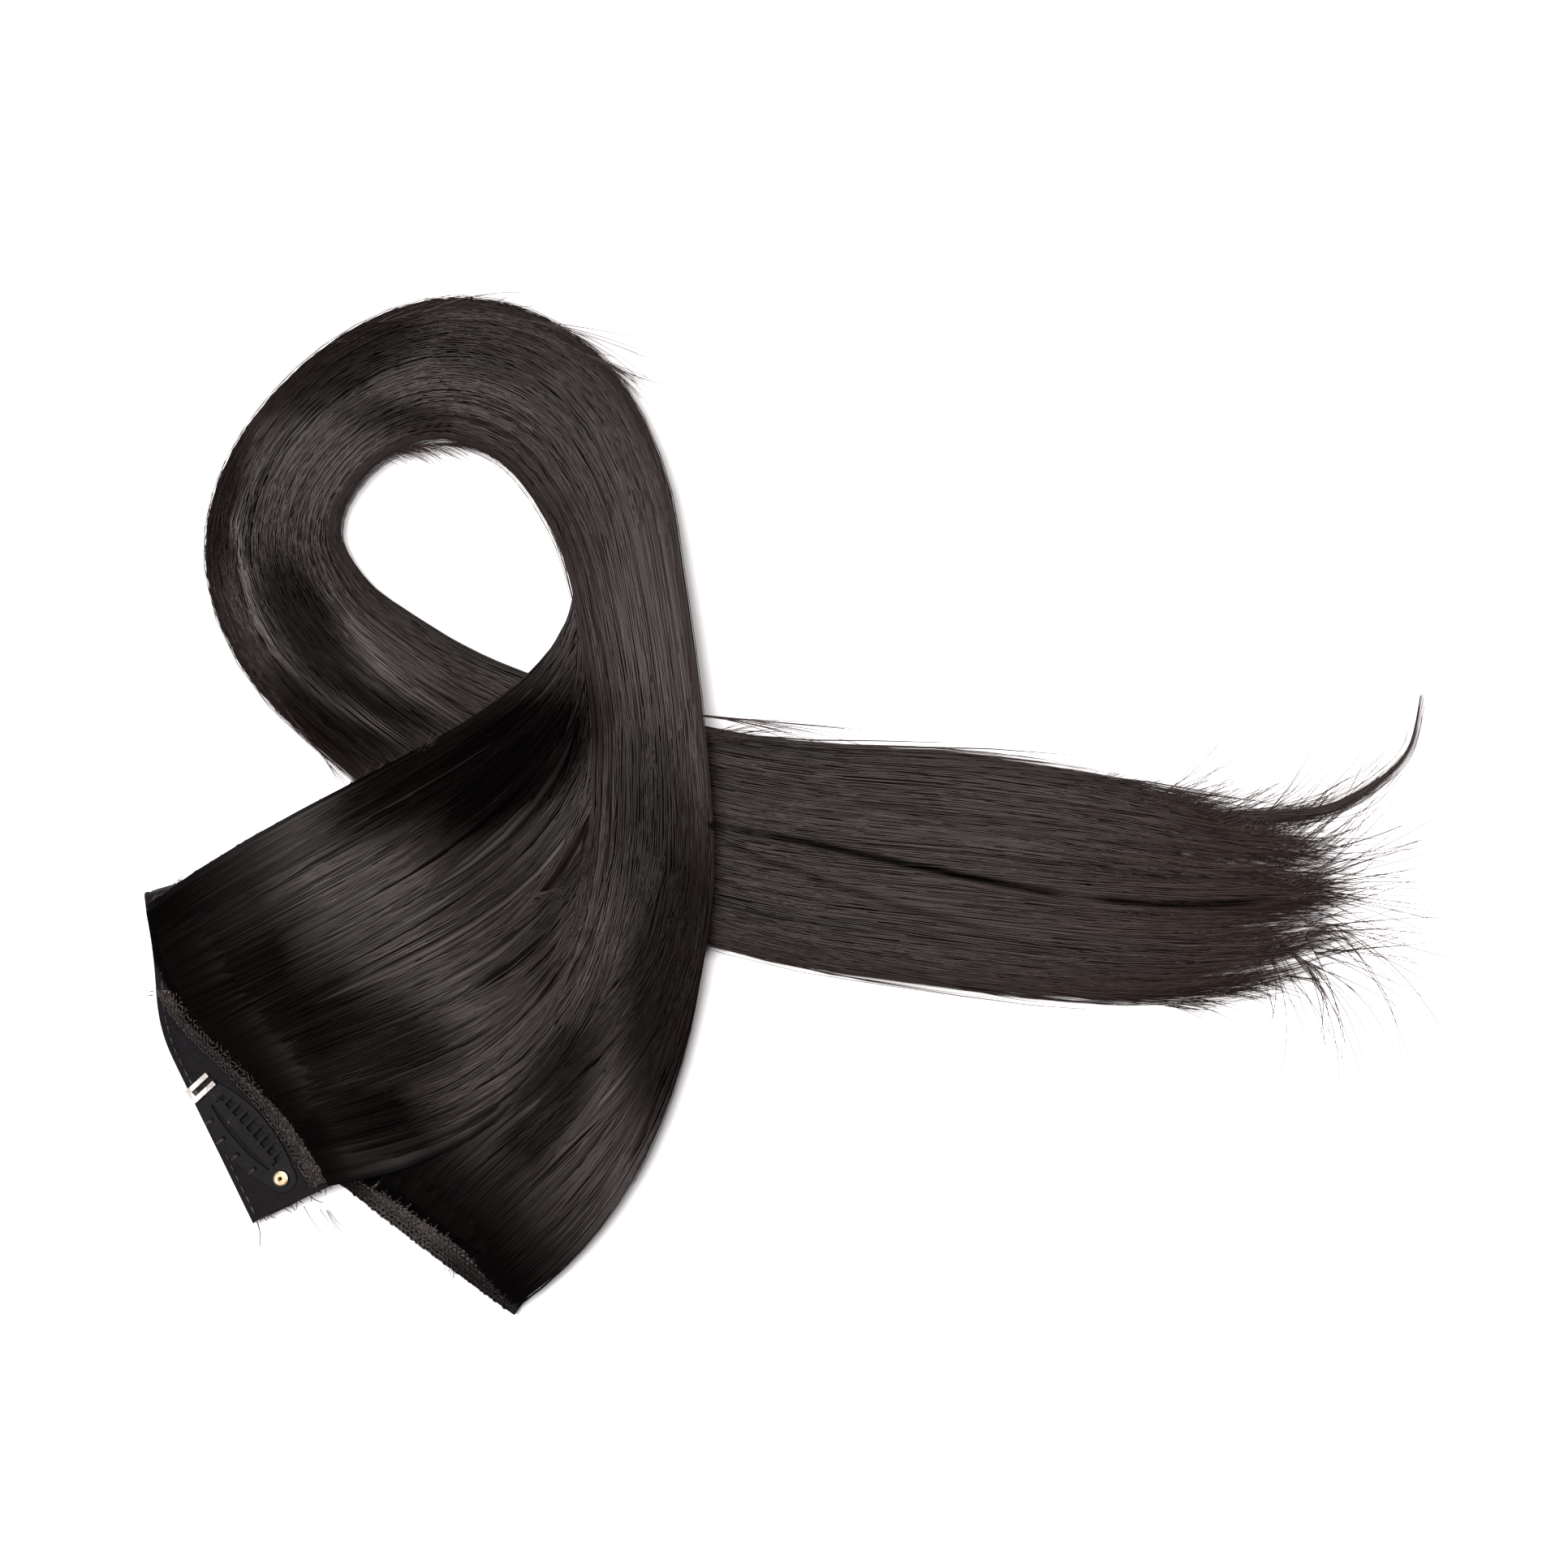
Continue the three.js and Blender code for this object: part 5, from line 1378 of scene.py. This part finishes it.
class HAIRPIECE_OT_loose(Operator):
    """Loose hair: the lock that curls away at the tips, and single hairs off the bundle"""

    bl_idname = "hairpiece.loose"
    bl_label = "Loose hair"

    def execute(self, context):
        hair = context.scene.hairpiece_hair
        rng = np.random.default_rng(hair.seed + 4)
        self.curl(rng)
        self.flyaways(rng)
        return {"FINISHED"}

    def curl(self, rng):
        """Strands round the curling lock's line, drawn together towards its tip."""
        count, samples = 80, 30
        reach = 1 - 0.65 * rng.uniform(0, 1, (count, 1)) ** 1.3
        row = np.linspace(0, len(CURL) - 1, samples) * reach
        here = curved(CURL, row)
        middle = np.concatenate([here[..., :2] * HAIR_LENGTH, here[..., 3:] * CURL_THICKNESS], -1)
        grown = 0.25 + 0.75 * smooth(np.linspace(0, 1, samples), 0.0, 0.16)
        half = here[..., 2] * CURL_THICKNESS / 2 * grown
        angle = rng.uniform(0, 2 * np.pi, (count, 1)) + 0.5 * wander(rng, count, samples, 4)
        astray = 1 + 14 * rng.uniform(0, 1, (count, 1)) ** 3 * np.linspace(0, 1, samples) ** 2
        radius = np.sqrt(rng.uniform(0, 1, (count, 1))) * astray
        ahead = unit(np.gradient(middle, axis=1))
        left = unit(np.cross(UP, ahead))
        line = middle + left * (half * radius * np.cos(angle))[..., None]
        line[..., 2] += half * radius * np.sin(angle)
        line[..., 2] = np.maximum(line[..., 2], 0.15)
        points = round_tubes(line, 0.13 * (1 - 0.6 * np.linspace(0, 1, samples)), 3)
        quads, ends = tube_faces(count, samples, 3)
        uv = run_uv(count, samples, 3, rng.uniform(0, 1, count), np.linspace(0.9, 1, samples))
        made = mesh_piece("hair_curl", points + FOLD_PLACE, quads, ends, hair_material(), uv)

    def flyaways(self, rng):
        """Single hairs that follow the bundle's edges a little off its surface, and short wisps that
        leave the hair in the directions of the table and bend by a square of their length."""
        parts = []
        for half, count in (("upper", 50), ("lower", 60)):
            line, _, shade = strand_lines(
                rng, half, count, 1, (14, 50), spread=2.5, radii=(0.97, 1.12), tips=(-2.5, 0.6), fringe=True
            )
            parts.append((line[:, 6:], shade[:, 6:]))
        line, shade = (np.concatenate(group) for group in zip(*parts))
        count, samples = line.shape[:2]
        line[..., 2] = np.maximum(line[..., 2], 0.1)
        points = round_tubes(line, 0.07, 3)
        quads, ends = tube_faces(count, samples, 3)
        uv = run_uv(count, samples, 3, rng.uniform(0, 1, count), np.linspace(0, 1, samples))
        made = mesh_piece(
            "hair_flyaways", points + FOLD_PLACE, quads, ends, loose_material(), uv, np.repeat(shade, 3)
        )

        number = WISPS[:, 0].astype(int)
        pick = np.repeat(np.arange(len(WISPS)), number)
        x0, y0, x1, y1, height, heading, fan, length, bend = WISPS[pick, 1:].T
        count, samples = len(pick), 12
        along = rng.uniform(0, 1, count)
        heading = heading + fan * rng.uniform(-1, 1, count)
        length = length * rng.uniform(0.45, 1.0, count)
        bend = bend * rng.uniform(0.2, 1.8, count) + rng.normal(0, 8, count)
        t = np.linspace(0, 1, samples)[None]
        turned = plan(heading[:, None] + bend[:, None] * t)
        step = turned * (length / samples)[:, None, None]
        line = np.cumsum(step, 1) - step[:, :1]
        line[..., 0] += (x0 + (x1 - x0) * along)[:, None]
        line[..., 1] += (y0 + (y1 - y0) * along)[:, None]
        fall = 0.25 * length[:, None] * t
        line[..., 2] = height[:, None] - fall + 0.6 * wander(rng, count, samples, 2)
        line[..., 2] = np.maximum(line[..., 2], 0.12)
        points = round_tubes(line, 0.12 * (1 - 0.6 * t), 3)
        quads, ends = tube_faces(count, samples, 3)
        uv = run_uv(count, samples, 3, rng.uniform(0, 1, count), np.linspace(0.6, 1, samples))
        made = mesh_piece("hair_wisps", points, quads, ends, loose_material(), uv)


class HAIRPIECE_PT_panel(Panel):
    """The hairpiece's settings and makers"""

    bl_idname = "HAIRPIECE_PT_panel"
    bl_label = "Hairpiece"
    bl_space_type = "VIEW_3D"
    bl_region_type = "UI"
    bl_category = "Hairpiece"

    def draw(self, context):
        for name, group in SETTINGS.items():
            box = self.layout.box()
            for prop in group.__annotations__:
                box.prop(getattr(context.scene, name), prop)
        for operator in OPERATORS:
            self.layout.operator(operator.bl_idname)


OPERATORS = (
    HAIRPIECE_OT_stage,
    HAIRPIECE_OT_band,
    HAIRPIECE_OT_tracks,
    HAIRPIECE_OT_clips,
    HAIRPIECE_OT_locks,
    HAIRPIECE_OT_strands,
    HAIRPIECE_OT_loose,
)


def register():
    for group in (*SETTINGS.values(), *OPERATORS, HAIRPIECE_PT_panel):
        bpy.utils.register_class(group)
    for name, group in SETTINGS.items():
        setattr(bpy.types.Scene, name, PointerProperty(type=group))


def unregister():
    for name in SETTINGS:
        delattr(bpy.types.Scene, name)
    for group in reversed((*SETTINGS.values(), *OPERATORS, HAIRPIECE_PT_panel)):
        bpy.utils.unregister_class(group)


def main():
    register()
    bpy.ops.hairpiece.stage()
    bpy.ops.hairpiece.band()
    bpy.ops.hairpiece.tracks()
    bpy.ops.hairpiece.clips()
    bpy.ops.hairpiece.locks()
    bpy.ops.hairpiece.strands()
    bpy.ops.hairpiece.loose()


if __name__ == "__main__":
    main()
